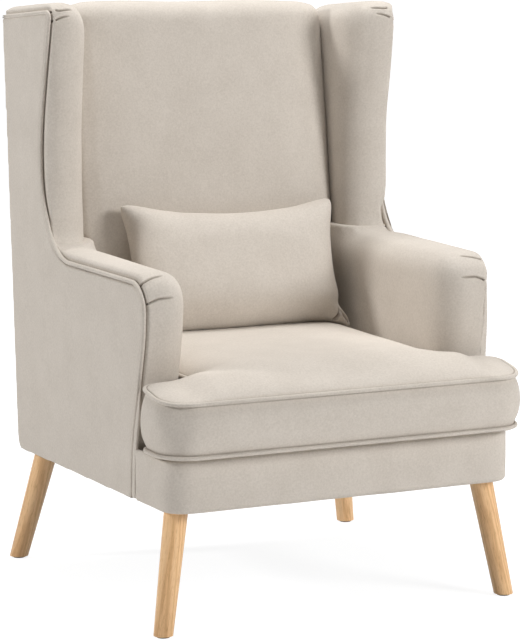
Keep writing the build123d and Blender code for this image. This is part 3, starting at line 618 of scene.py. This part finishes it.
TOE = math.radians(2.0)
SIDE_PLANE = 0.336
CORD_RADIUS = 0.0034
SEAM_LEVEL = 0.603
LIPS = {
    "right": {"arm_pad": (0.009, 0.015), "wing_pad": (0.010, 0.0)},
    "left": {"arm_pad": (0.002, 0.001), "wing_pad": (0.002, 0.0)},
}
LIP_LEVELS = {"arm_pad": (0.360, 0.580), "wing_pad": (0.615, 0.700)}
LIP_START = (0.002, 0.009)
LIP_END = (0.016, 0.040)
LIP_DEPTH = (0.300, 0.322)
LIP_FOOT = (0.300, 0.400)
LIP_REACH = 0.06
CORNER_TUCK = Vector((0.0, 0.013, -0.007))
CORNER_LEVELS = ((0.575, 0.605), (0.645, 0.715))
CORNER_DEPTHS = ((0.060, 0.100), (0.200, 0.240))
LEFT_WING_RISE = 0.009
RISE_LEVELS = (0.860, 0.990)
WING_SINK = 0.006
WING_SINK_HEIGHT = 0.035


def side_outward(sign):
    """Square to a side, which toes in a little towards the front."""
    return Vector((sign * math.cos(TOE), -math.sin(TOE), 0.0))


def window_of(values, rise, fall):
    """0, then 1 between the rise and the fall, then 0 again."""
    return smooth_share(values, *rise) * (1.0 - smooth_share(values, *fall))


def roll_over(piece, side, sign, pad):
    """The edge of the facing rolls out over the cord beside it, more so near its foot."""
    width, more = LIPS[side][pad]
    outward = side_outward(sign)
    points = points_of(piece)
    depths = SIDE_PLANE + (points - (sign * SIDE_PLANE, 0.0, 0.0)) @ np.array(outward)
    edge = np.nonzero(depths >= LIP_DEPTH[0])[0]
    for index, here, spot, normal, _ in near_cords(points, [side + "_side_piping"], LIP_REACH, edge):
        away = here - (spot - normal * CORD_RADIUS)
        ahead = (away - outward * away.dot(outward)).length
        share = window_of(ahead, LIP_START, LIP_END)
        share *= smooth_share(depths[index], *LIP_DEPTH) * smooth_share(here.z, *LIP_FOOT)
        wide = width + more * (1.0 - float(smooth_share(here.z, *LIP_LEVELS[pad])))
        points[index] = here + outward * wide * float(share)
    put_points(piece, points)


def tuck_corner(piece, reach):
    """Where the right wing comes down on the arm, the seam is drawn into the corner behind the facing."""
    points = points_of(piece)
    window = window_of(points[:, 2], *CORNER_LEVELS) * window_of(points[:, 1], *CORNER_DEPTHS)
    corner = np.nonzero(window)[0]
    for index, here, _, _, gap in near_cords(points, ["right_side_piping"], reach, corner):
        share = window[index] * (1.0 - smooth_share(gap, 0.3 * reach, reach))
        points[index] = here + CORNER_TUCK * float(share)
    put_points(piece, points)


def stand_taller(piece, rise):
    """Lifts the top of a piece: the left side is stuffed a little higher than the right one."""
    points = points_of(piece)
    points[:, 2] += rise * smooth_share(points[:, 2], *RISE_LEVELS)
    put_points(piece, points)


def set_side(piece, side, reach):
    """The sides are unequal: the right seam is tucked into its corner, the left wing stands taller."""
    if side == "right":
        tuck_corner(piece, reach)
    else:
        stand_taller(piece, LEFT_WING_RISE)


def sit_down(piece):
    """The foot of the wing sits down into the soft top of the arm."""
    points = points_of(piece)
    points[:, 2] -= WING_SINK * (1.0 - smooth_share(points[:, 2], SEAM_LEVEL, SEAM_LEVEL + WING_SINK_HEIGHT))
    put_points(piece, points)


cloth = brushed_cloth("brushed_cloth")
SIDE_NEIGHBOURS = [
    "right_side_panel", "right_side_rail", "right_arm_rail", "right_arm_post", "right_wing_post",
    "right_wing_top_rail", "right_back_post", "back_cushion", "back_webbing", "seat_deck",
    "seat_cushion_cover", "front_apron", "corner_blocks", "outer_back",
]
DARTS = {
    "arm_pad": [
        ((0.324, -0.203, 0.572), (0.320, -0.213, 0.581), (0.304, -0.211, 0.588), (0.282, -0.207, 0.591)),
        ((0.324, -0.215, 0.543), (0.317, -0.231, 0.550), (0.302, -0.233, 0.556), (0.273, -0.230, 0.556)),
    ],
    "wing_pad": [
        ((0.335, 0.162, 0.998), (0.320, 0.149, 1.004), (0.294, 0.153, 1.006)),
        ((0.336, 0.166, 0.981), (0.329, 0.147, 0.989), (0.315, 0.145, 0.994), (0.302, 0.146, 0.995)),
    ],
}
for pad, other in (("arm_pad", "wing_pad"), ("wing_pad", "arm_pad")):
    right = knit(free_copy("right_" + pad + "_cover", "right_" + pad), voxel=0.003, easing=5)
    neighbours = SIDE_NEIGHBOURS + ["right_" + other]
    swell(right, neighbours, cap=0.004, pressure=4.0, cell=0.007, seams=["right_side_piping"])
    right.data.shade_smooth()
    free = clear_of(right, "right_side_piping", start=0.008, end=0.022)
    free *= smooth_share(np.abs(points_of(right)[:, 2] - SEAM_LEVEL), 0.004, 0.020)
    ease_form(right, free, rounds=60)
    ripple(right, size=0.09, height=0.0006, seed=1.0)
    if pad == "wing_pad":
        sit_down(right)
    left = turned_over(right, "left_" + pad + "_cover")
    for side, sign, piece in (("right", 1.0, right), ("left", -1.0, left)):
        piping = side + "_side_piping"
        finer_near(piece, [piping], reach=0.012)
        roll_over(piece, side, sign, pad)
        meet_cord(piece, piping, CORD_RADIUS, reach=0.0028)
        # Shade is painted into the crevice beside the piping and into the darts.
        paint_crease_shade(piece, [piping], reach=0.0022)
        for corners in DARTS[pad]:
            dart(piece, [(sign * x, y, z) for x, y, z in corners], depth=0.0042, width=0.0015)
        set_side(piece, side, reach=0.013)
        put_on(piece, cloth)
        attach(piece, "chair")
        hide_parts(side + "_" + pad)


# Outer side panels and outer back: cloth stretched flat over board and tacked under the edges.
# The edge is padded a little, so the cloth turns in softly beside the piping.
PANEL_THICKEST = 0.1
PANEL_SPREAD = 0.0015
PANEL_HEM = 0.0036
HEM_FROM, HEM_TO = 0.002, 0.020
BACK_LEFT_RISE = 0.007
BACK_RISE_WIDTH = 0.24


def covered_board(name, node_name, cell, seed):
    """The board under its cloth, with soft edges and a faint unevenness."""
    board = free_copy(name, node_name)
    points = points_of(board)
    middle = (points.min(axis=0) + points.max(axis=0)) / 2
    wide = (points.max(axis=0) - points.min(axis=0)) > PANEL_THICKEST
    put_points(board, points + np.sign(points - middle) * PANEL_SPREAD * wide)
    knit(board, cell, easing=4)
    board.data.shade_smooth()
    ripple(board, size=0.11, height=0.0005, seed=seed)
    return board


def lift_left_end(piece):
    """The left end of the back stands a little higher, as the left wing does."""
    stand_taller(piece, BACK_LEFT_RISE * smooth_share(-points_of(piece)[:, 0], 0.0, BACK_RISE_WIDTH))


for side, sign in (("left", -1.0), ("right", 1.0)):
    panel = covered_board(side + "_outside", side + "_side_panel", cell=0.003, seed=2.0 + sign)
    points = points_of(panel)
    hem = points[:, 2] - points[:, 2].min()
    points[:, 2] -= PANEL_HEM * (1.0 - smooth_share(hem, HEM_FROM, HEM_TO))
    put_points(panel, points)
    set_side(panel, side, reach=0.045)
    put_on(panel, cloth)
    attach(panel, "chair")
    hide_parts(side + "_side_panel")
outside_back = covered_board("outside_back", "outer_back", cell=0.0035, seed=9.0)
lift_left_end(outside_back)
put_on(outside_back, cloth)
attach(outside_back, "chair")
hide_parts("outer_back")


# Piping: a cord covered in the same cloth, cut on the bias and sewn into the seam.
# Along the side panels, and round the top and bottom of the seat cushion.
CORD_COVER = 0.0003


def covered_cord(name, node_name, body, seed):
    """The cord in its cover of cloth, a little uneven where the bias strip is drawn round it."""
    cord = halve(free_copy(name, node_name))
    ripple(cord, size=0.018, height=0.00035, seed=seed)
    put_points(cord, points_of(cord) + normals_of(cord) * CORD_COVER)
    put_on(cord, cloth)
    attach(cord, body)
    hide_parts(node_name)
    return cord


CORD_STAND = {"left": 0.0014, "right": -0.0012}
CORD_REAR = 0.350
CORD_REAR_PULL = 0.6
for side, sign, seed in (("left", -1.0, 3.0), ("right", 1.0, 4.0)):
    cord = covered_cord(side + "_side_cord", side + "_side_piping", "chair", seed)
    points = points_of(cord) + np.array(side_outward(sign)) * CORD_STAND[side]
    points[:, 1] -= CORD_REAR_PULL * np.maximum(points[:, 1] - CORD_REAR, 0.0)
    put_points(cord, points)
    set_side(cord, side, reach=0.020)


# Front apron: a padded band under the cushion, wrapped round the front corners.
# Its ends are folded in beside the strip of facing that runs down to the foot of each arm.
def slice_at(work, point, normal, clear_outer=False):
    """Cuts the work along a plane, and can clear away what lies beyond it."""
    whole = work.verts[:] + work.edges[:] + work.faces[:]
    return bmesh.ops.bisect_plane(
        work, geom=whole, dist=1e-6, plane_co=point, plane_no=normal, clear_outer=clear_outer,
    )


FACING_FOOT = 0.0075
APRON_NEIGHBOURS = [
    "corner_blocks", "front_rail", "left_side_rail", "right_side_rail", "seat_deck", "dust_cover",
]
apron = free_copy("front_apron_band", "front_apron")
apron_low, apron_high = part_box("front_apron")
cutter = bmesh.new()
cutter.from_mesh(apron.data)
cut = slice_at(cutter, (0, apron_high.y - FACING_FOOT, 0), (0, 1, 0), clear_outer=True)
bmesh.ops.holes_fill(cutter, edges=[part for part in cut["geom_cut"] if isinstance(part, bmesh.types.BMEdge)])
bmesh.ops.recalc_face_normals(cutter, faces=cutter.faces)
cutter.to_mesh(apron.data)
cutter.free()
knit(apron, voxel=0.0035, easing=6)
swell(apron, APRON_NEIGHBOURS, cap=0.002, pressure=4.0, cell=0.007)
apron.data.shade_smooth()
levels = points_of(apron)[:, 2]
from_edge = np.minimum(levels - apron_low.z, apron_high.z - levels)
ease_form(apron, smooth_share(from_edge, 0.008, 0.022), rounds=40)
ripple(apron, size=0.07, height=0.0005, seed=5.0)
put_on(apron, cloth)
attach(apron, "chair")
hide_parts("front_apron")

FOOT_THICK = 0.0060
FOOT_WIDTH = 0.0125
FOOT_ROUND = 0.0024
FOOT_TAPER = 0.325
FOOT_TOP = 0.440
FOOT_STEP = 0.012
FOOT_SHRINK = 0.9
FOOT_HEM = 0.003
for side, sign in (("left", -1.0), ("right", 1.0)):
    strip = bmesh.new()
    bmesh.ops.create_cube(strip, size=1.0, matrix=Matrix.Diagonal((FOOT_THICK, FOOT_WIDTH, 1.0, 1.0)))
    for vertex in strip.verts:
        vertex.co.z = FOOT_TOP if vertex.co.z > 0 else apron_low.z + FOOT_HEM
    bmesh.ops.bevel(
        strip, geom=strip.edges[:], offset=FOOT_ROUND, offset_type="OFFSET",
        affect="EDGES", segments=3, profile=0.5, material=-1,
    )
    level = apron_low.z + FOOT_STEP
    while level < FOOT_TOP - FOOT_STEP / 2:
        slice_at(strip, (0, 0, level), (0, 0, 1))
        level += FOOT_STEP
    bmesh.ops.rotate(strip, verts=strip.verts, matrix=Matrix.Rotation(-sign * TOE, 3, "Z"))
    cord = net_tree([nodes[side + "_side_piping"]])
    for vertex in strip.verts:
        height = max(vertex.co.z, apron_low.z + 2 * FOOT_HEM)
        near = cord.find_nearest(Vector((sign * SIDE_PLANE, apron_high.y, height)))
        core = near[0] - near[1] * CORD_RADIUS
        kept = 1.0 - FOOT_SHRINK * float(smooth_share(vertex.co.z, FOOT_TAPER, FOOT_TOP))
        vertex.co.x = core.x + vertex.co.x * kept
        vertex.co.y = core.y - CORD_RADIUS + (vertex.co.y - FOOT_WIDTH / 2) * kept
    foot = piece_from(side + "_facing_foot", strip)
    foot.data.shade_smooth()
    put_on(foot, cloth)
    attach(foot, "chair")


# Dust cover: thin black felt stapled under the seat frame, cut out round the legs.
# It keeps dust off the springs, and sags a little between the rails.
def pressed_felt(name, hair, tones, strength):
    """Felt of short hairs in two tones."""
    material, tree, shader, spot = new_material(name)
    hairs = noise_of(tree, spot, hair, 3.0, 0.7)
    normal = bumped(tree, hairs, 0.0004, strength)
    feed(tree, shader, {"Base Color": ramp_of(tree, hairs, tones), "Roughness": 0.95, "Normal": normal})
    return material


DUST_TONES = [(0.3, (0.006, 0.006, 0.006)), (0.75, (0.022, 0.022, 0.023))]
DUST_MESH = 0.012
DUST_SIDE = 0.329
DUST_THICK = 0.0006
DUST_SAG = 0.004
SAG_HALF_WIDTH, SAG_HALF_DEPTH = 0.30, 0.28
LEG_CUT = 0.0235
LEG_TOPS = {
    "front_right_leg": (0.290, -0.275),
    "front_left_leg": (-0.290, -0.275),
    "rear_right_leg": (0.298, 0.284),
    "rear_left_leg": (-0.298, 0.284),
}
dust_low, dust_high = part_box("dust_cover")
dust_middle = (dust_low + dust_high) / 2
dust_half = (dust_high - dust_low) / 2
felt = bmesh.new()
bmesh.ops.create_grid(
    felt, x_segments=int(dust_half.x * 2 / DUST_MESH), y_segments=int(dust_half.y * 2 / DUST_MESH), size=1.0,
    matrix=Matrix.Translation(dust_middle) @ Matrix.Diagonal((dust_half.x, dust_half.y, 1.0, 1.0)),
)
for sign in (-1.0, 1.0):
    slice_at(felt, (sign * DUST_SIDE, 0, 0), side_outward(sign), clear_outer=True)
for leg_x, leg_y in LEG_TOPS.values():
    centre = Vector((leg_x, leg_y, dust_middle.z))
    inside = [vertex for vertex in felt.verts if (vertex.co - centre).length < LEG_CUT]
    bmesh.ops.delete(felt, geom=inside, context="VERTS")
    for vertex in felt.verts:
        away = vertex.co - centre
        if vertex.is_boundary and away.length < LEG_CUT + DUST_MESH:
            vertex.co = centre + away.normalized() * LEG_CUT
for vertex in felt.verts:
    across = max(0.0, 1.0 - (vertex.co.x / SAG_HALF_WIDTH) ** 2)
    along = max(0.0, 1.0 - (vertex.co.y / SAG_HALF_DEPTH) ** 2)
    vertex.co.z = dust_low.z + DUST_THICK - DUST_SAG * across * along
dust_cover = piece_from("dust_cover_felt", felt)
body_of_felt = dust_cover.modifiers.new("felt", "SOLIDIFY")
body_of_felt.thickness = DUST_THICK
body_of_felt.offset = 0.0
bake(dust_cover)
dust_cover.data.shade_smooth()
put_on(dust_cover, pressed_felt("dust_felt", 700.0, DUST_TONES, 0.5))
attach(dust_cover, "chair")
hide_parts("dust_cover")


# Inner back: a thick fixed cushion between the wings, crowned, its top rolled over the back frame.
# Foam on the webbing under one piece of cloth, drawn tight and tacked at the rear.
BACK_NEIGHBOURS = [
    "left_wing_pad", "right_wing_pad", "left_arm_pad", "right_arm_pad", "back_webbing", "back_top_rail",
    "outer_back", "seat_deck", "seat_cushion_cover", "pillow_cover", "left_back_post", "right_back_post",
]
back = knit(free_copy("inner_back", "back_cushion"), voxel=0.0045, easing=8)
swell(back, BACK_NEIGHBOURS, cap=0.006, pressure=4.0, cell=0.011)
back.data.shade_smooth()
ripple(back, size=0.13, height=0.0010, seed=6.0)
lift_left_end(back)
put_on(back, cloth)
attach(back, "chair")
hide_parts("back_cushion")


# Legs: turned oak, tapered and splayed, with a thin matt lacquer.
# A bolt in the top of each screws into a threaded insert in the corner block; felt glides under the feet.
OAK = ((0.97, 0.645, 0.355), (0.92, 0.590, 0.310), (0.79, 0.480, 0.235))
OAK_RINGS = 60.0
OAK_ROUGHNESS = 0.42
LEG_TOP_LEVEL, LEG_FOOT_LEVEL = 0.212, 0.003
LEG_FEET = {
    "front_right_leg": (0.326, -0.300),
    "front_left_leg": (-0.326, -0.300),
    "rear_right_leg": (0.340, 0.330),
    "rear_left_leg": (-0.340, 0.330),
}
for name, foot in LEG_FEET.items():
    axis = Vector((*LEG_TOPS[name], LEG_TOP_LEVEL)) - Vector((*foot, LEG_FOOT_LEVEL))
    turn = tuple(axis.normalized().rotation_difference(Vector((0, 0, 1))).to_euler())
    dress(name, grain_wood("oak_" + name, turn, *OAK, OAK_RINGS, OAK_ROUGHNESS))
    nodes[name].data.shade_smooth()
    nodes[name].data.set_sharp_from_angle(angle=math.radians(40))
dress("leg_bolts", zinc_plate)
dress("leg_inserts", plated_steel("brass_insert", (0.62, 0.46, 0.20), (0.48, 0.34, 0.13), 300.0, 0.38))
GLIDE_TONES = [(0.3, (0.060, 0.045, 0.034)), (0.7, (0.125, 0.098, 0.075))]
dress("floor_glides", pressed_felt("brown_glide", 1600.0, GLIDE_TONES, 0.6))


# Loose seat cushion: a T-shaped box cushion, foam wrapped in fibre under a sewn cover.
# The cover is piped round the top and bottom edges and crowned on top.
def cut_foam(name, light, dark, cell):
    """Open cells: paler walls round hollows painted darker, as painted shade in the cells."""
    material, tree, shader, spot = new_material(name)
    cells = node_of(tree, "TexVoronoi", {"Vector": spot, "Scale": cell}).outputs["Distance"]
    tint = ramp_of(tree, cells, [(0.1, dark), (0.5, light)])
    feed(tree, shader, {"Base Color": tint, "Roughness": 0.95, "Normal": bumped(tree, cells, 0.001, 0.6)})
    return material


dress("seat_foam_core", cut_foam("cut_foam", (0.80, 0.73, 0.52), (0.66, 0.58, 0.38), 700.0))


def outer_shell(piece):
    """Keeps the outside of a hollow cover: all that hangs together with its outermost point."""
    work = bmesh.new()
    work.from_mesh(piece.data)
    grow = [max(work.verts, key=lambda vertex: vertex.co.x)]
    shell = set(grow)
    while grow:
        here = grow.pop()
        for edge in here.link_edges:
            there = edge.other_vert(here)
            if there not in shell:
                shell.add(there)
                grow.append(there)
    bmesh.ops.delete(work, geom=[vertex for vertex in work.verts if vertex not in shell], context="VERTS")
    work.to_mesh(piece.data)
    work.free()
    return piece


SEAT_SEAM = 0.4002
SEAT_LIFT = 0.014
SEAT_LIFT_DEPTHS = (-0.345, -0.235)
SEAT_LIFT_LEVELS = (0.335, 0.397)
SEAT_CORD_RADIUS = 0.0032
EAR_FLATNESS = 0.65
EAR_PLACES = (0.235, 0.290)


def flatten_ears(piece):
    """The ends in front of the arms are stuffed thinner, so their top lies nearly flat between its seams."""
    points = points_of(piece)
    out = smooth_share(np.abs(points[:, 0]), *EAR_PLACES)
    over = np.maximum(points[:, 2] - SEAT_SEAM, 0.0)
    points[:, 2] -= EAR_FLATNESS * out * over
    put_points(piece, points)


def lift_top(piece):
    """Behind the front edge the filling stands higher, and the top seam with it."""
    points = points_of(piece)
    rear = smooth_share(points[:, 1], *SEAT_LIFT_DEPTHS)
    upper = smooth_share(points[:, 2], *SEAT_LIFT_LEVELS)
    points[:, 2] += SEAT_LIFT * rear * upper
    put_points(piece, points)


SEAT_PIPING = ["seat_top_piping", "seat_bottom_piping"]
SEAT_NEIGHBOURS = ["left_arm_pad", "right_arm_pad", "back_cushion", "seat_deck", "front_apron"]
seat = knit(outer_shell(free_copy("seat_cushion_case", "seat_cushion_cover")), voxel=0.0035, easing=5)
swell(seat, SEAT_NEIGHBOURS, cap=0.005, pressure=4.0, cell=0.009, seams=SEAT_PIPING)
seat.data.shade_smooth()
top_free, bottom_free = (clear_of(seat, name, start=0.006, end=0.020) for name in SEAT_PIPING)
ease_form(seat, top_free * bottom_free, rounds=40)
ripple(seat, size=0.11, height=0.0010, seed=7.0)
finer_near(seat, SEAT_PIPING, reach=0.011)
for name in SEAT_PIPING:
    meet_cord(seat, name, SEAT_CORD_RADIUS, reach=0.0028)
# Shade is painted into the crevices beside the seat piping.
paint_crease_shade(seat, SEAT_PIPING, reach=0.0034)
flatten_ears(seat)
lift_top(seat)
put_on(seat, cloth)
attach(seat, "seat_cushion")
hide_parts("seat_cushion_cover")
lift_top(covered_cord("seat_top_cord", "seat_top_piping", "seat_cushion", 5.0))
covered_cord("seat_bottom_cord", "seat_bottom_piping", "seat_cushion", 6.0)


# Lumbar pillow: a loose knife-edge case stuffed with fibre, leaning against the inner back.
# Its top and its right end are drawn in between the corners, which stay thin and pointed.
pillow = knit(outer_shell(free_copy("lumbar_pillow_case", "pillow_cover")), voxel=0.003, easing=4)
swell(pillow, ["back_cushion"], cap=0.008, pressure=5.0, cell=0.008)
pillow.data.shade_smooth()
PILLOW_COLUMN = 0.010
PILLOW_GIVE = 0.090
PILLOW_SKIN, PILLOW_THICKEST = 0.001, 0.2
PILLOW_TOP_PULL, PILLOW_TOP_FROM = 0.010, 0.45
PILLOW_END_PULL, PILLOW_END_FROM, PILLOW_END_SKEW = 0.013, 0.55, 0.75
PILLOW_EAR_PULL, PILLOW_EAR_FROM = 0.009, 0.80
PILLOW_EAR_PLACE, PILLOW_EAR_WIDTH = 0.17, 0.07


def thickness_of(piece):
    """How thick the piece is behind each of its points."""
    own = net_tree([piece])
    thick = np.zeros(len(piece.data.vertices))
    for index, (point, normal) in enumerate(zip(points_of(piece), normals_of(piece))):
        inward = -Vector(normal)
        hit = own.ray_cast(Vector(point) + inward * PILLOW_SKIN, inward, PILLOW_THICKEST)
        thick[index] = hit[3] if hit[0] is not None else 0.0
    return thick


def draw_in(piece):
    """The thread draws the top edge and the right end in between their corners."""
    points = points_of(piece)
    low = points.min(axis=0)
    high = points.max(axis=0)
    across = np.clip((points[:, 0] - low[0]) / (high[0] - low[0]), 0.0, 1.0)
    up = np.clip((points[:, 2] - low[2]) / (high[2] - low[2]), 0.0, 1.0)
    points[:, 2] -= PILLOW_TOP_PULL * np.sin(math.pi * across) * smooth_share(up, PILLOW_TOP_FROM, 1.0)
    bow = np.sin(math.pi * up ** PILLOW_END_SKEW)
    points[:, 0] -= PILLOW_END_PULL * bow * smooth_share(across, PILLOW_END_FROM, 1.0)
    ear = np.exp(-((up - PILLOW_EAR_PLACE) / PILLOW_EAR_WIDTH) ** 2)
    points[:, 0] -= PILLOW_EAR_PULL * ear * smooth_share(across, PILLOW_EAR_FROM, 1.0)
    put_points(piece, points)


thick = even_out(pillow, thickness_of(pillow), 10)
ease_form(pillow, smooth_share(thick, 0.018, 0.060), rounds=80)
draw_in(pillow)
ripple(pillow, size=0.08, height=0.0012, seed=8.0)
DOWN = Vector((0, 0, -1))
LIE_LOOK, LIE_GAP = 0.1, 0.0005
LIE_CLEARANCE = 0.0004
LIE_REACH = 0.03


def sit_on(piece, below, give):
    """The lower edge of a loose cushion follows what it lies on, and the filling above gives way."""
    surface = net_tree([below])
    points = points_of(piece)
    columns = np.round(points[:, 0] / PILLOW_COLUMN).astype(int)
    places, lows, needs = [], [], []
    for column in np.unique(columns):
        here = points[columns == column]
        lowest = here[np.argmin(here[:, 2])]
        hit = surface.ray_cast(Vector((lowest[0], lowest[1], lowest[2] + LIE_LOOK)), DOWN)
        places.append(column * PILLOW_COLUMN)
        lows.append(lowest[2])
        needs.append(max(0.0, hit[0].z + LIE_GAP - lowest[2]) if hit[0] is not None else 0.0)
    needs = np.convolve(np.pad(needs, 2, mode="edge"), np.ones(5) / 5, mode="valid")
    share = 1.0 - smooth_share(points[:, 2] - np.interp(points[:, 0], places, lows), 0.0, give)
    points[:, 2] += np.interp(points[:, 0], places, needs) * share
    for index, point in enumerate(points):
        hit = surface.ray_cast(Vector((point[0], point[1], point[2] + LIE_REACH)), DOWN, LIE_REACH)
        if hit[0] is not None:
            points[index][2] = hit[0].z + LIE_CLEARANCE
    put_points(piece, points)


sit_on(pillow, seat, PILLOW_GIVE)
PILLOW_FOLDS = [
    ((0.183, 0.0755, 0.444), (0.1885, 0.0730, 0.450), (0.1935, 0.0716, 0.461), (0.1955, 0.072, 0.472)),
    ((0.214, 0.083, 0.438), (0.203, 0.076, 0.452), (0.196, 0.073, 0.466)),
]
# Each fold is sunk in and gets painted shade along its crevice.
for corners in PILLOW_FOLDS:
    dart(pillow, corners, depth=0.0050, width=0.0028)
put_on(pillow, cloth)
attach(pillow, "lumbar_pillow")
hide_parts("pillow_cover")

STUFFING_SHARE = (0.95, 0.86, 0.90)
STUFFING_LIFT = 0.006
stuffing = knit(free_copy("pillow_stuffing", "pillow_fill"), voxel=0.006, easing=2)
stuffing.data.shade_smooth()
points = points_of(stuffing)
middle = (points.min(axis=0) + points.max(axis=0)) / 2
put_points(stuffing, middle + (points - middle) * STUFFING_SHARE + (0.0, 0.0, STUFFING_LIFT))
draw_in(stuffing)
ripple(stuffing, size=0.03, height=0.0015, seed=9.0)
put_on(stuffing, cut_foam("polyester_fibre", (0.86, 0.85, 0.82), (0.74, 0.73, 0.70), 160.0))
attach(stuffing, "lumbar_pillow")
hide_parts("pillow_fill")


# Studio: a wide pale floor, two broad lamps above and at the right, a small one at the left, a dim surround.
# The camera stands to the left of the chair, a little above the arms, as in the photograph.
FLOOR_NEAR, FLOOR_FAR = 0.8, 3.0
FLOOR_TONES = [(0.0, (0.90, 0.90, 0.90)), (1.0, (1.0, 1.0, 1.0))]
FLOOR_LIT = (0.30, 0.30, 0.30, 1.0)
FLOOR_BOUNCE = (0.88, 0.88, 0.88, 1.0)


def studio_floor():
    """Pale to the eye, and paler far away; to the light it is a plain matt floor."""
    material, tree, shader, spot = new_material("pale_floor")
    tree.nodes.remove(shader)
    rays = tree.nodes.new("ShaderNodeLightPath").outputs
    seen = reckon(tree, "MAXIMUM", rays["Is Camera Ray"], rays["Is Glossy Ray"])
    seen = reckon(tree, "MAXIMUM", seen, rays["Is Transmission Ray"])
    away = tree.nodes.new("ShaderNodeVectorMath")
    away.operation = "LENGTH"
    distance = feed(tree, away, {"Vector": spot}).outputs["Value"]
    far = node_of(tree, "MapRange", {"Value": distance, "From Min": FLOOR_NEAR, "From Max": FLOOR_FAR})
    paler = ramp_of(tree, far.outputs["Result"], FLOOR_TONES)
    glow = node_of(tree, "Emission", {"Color": paler, "Strength": 1.0}).outputs["Emission"]
    lit = node_of(tree, "BsdfDiffuse", {"Color": FLOOR_LIT}).outputs["BSDF"]
    bright = node_of(tree, "AddShader", {0: glow, 1: lit}).outputs["Shader"]
    matt = node_of(tree, "BsdfDiffuse", {"Color": FLOOR_BOUNCE}).outputs["BSDF"]
    pick = node_of(tree, "MixShader", {"Fac": seen, 1: matt, 2: bright}).outputs["Shader"]
    feed(tree, tree.nodes["Material Output"], {"Surface": pick})
    return material


scene = bpy.context.scene
scene.view_settings.view_transform = "Standard"
ground = bmesh.new()
bmesh.ops.create_grid(ground, x_segments=1, y_segments=1, size=30.0)
floor = piece_from("studio_floor", ground)
put_on(floor, studio_floor())

SURROUND_LIGHT = 0.15
surround = bpy.data.worlds.new("surround")
surround.use_nodes = True
backdrop = surround.node_tree.nodes["Background"]
backdrop.inputs["Color"].default_value = (1.0, 1.0, 1.0, 1.0)
backdrop.inputs["Strength"].default_value = SURROUND_LIGHT
scene.world = surround


CHAIR_MIDDLE = Vector((0.0, 0.0, 0.5))


def soft_box(name, place, size, power):
    """A round lamp turned towards the middle of the chair."""
    lamp = bpy.data.lights.new(name, "AREA")
    lamp.shape = "DISK"
    lamp.size = size
    lamp.energy = power
    box = bpy.data.objects.new(name, lamp)
    scene.collection.objects.link(box)
    box.location = place
    box.rotation_mode = "QUATERNION"
    box.rotation_quaternion = (CHAIR_MIDDLE - Vector(place)).to_track_quat("-Z", "Y")


soft_box("top_box", (0.3, 0.4, 3.3), size=2.0, power=70.0)
soft_box("right_box", (2.5, -3.5, 2.2), size=1.7, power=120.0)
soft_box("left_box", (-3.35, 0.85, 1.90), size=0.4, power=55.0)

VIEW_TURN = math.radians(-25.7)
VIEW_TILT = math.radians(8.95)
VIEW_DISTANCE = 5.1
VIEW_TARGET = Vector((0.004, 0.016, 0.4647))
VIEW_FOCUS = 2864.0
PICTURE_HEIGHT = 640.0
look = Vector((
    -math.sin(VIEW_TURN) * math.cos(VIEW_TILT),
    math.cos(VIEW_TURN) * math.cos(VIEW_TILT),
    -math.sin(VIEW_TILT),
))
lens = bpy.data.cameras.new("studio_camera")
lens.sensor_width = 36.0
lens.lens = VIEW_FOCUS / PICTURE_HEIGHT * lens.sensor_width
lens.clip_end = 200.0
camera = bpy.data.objects.new("studio_camera", lens)
scene.collection.objects.link(camera)
camera.location = VIEW_TARGET - VIEW_DISTANCE * look
camera.rotation_mode = "QUATERNION"
camera.rotation_quaternion = look.to_track_quat("-Z", "Y")
scene.camera = camera
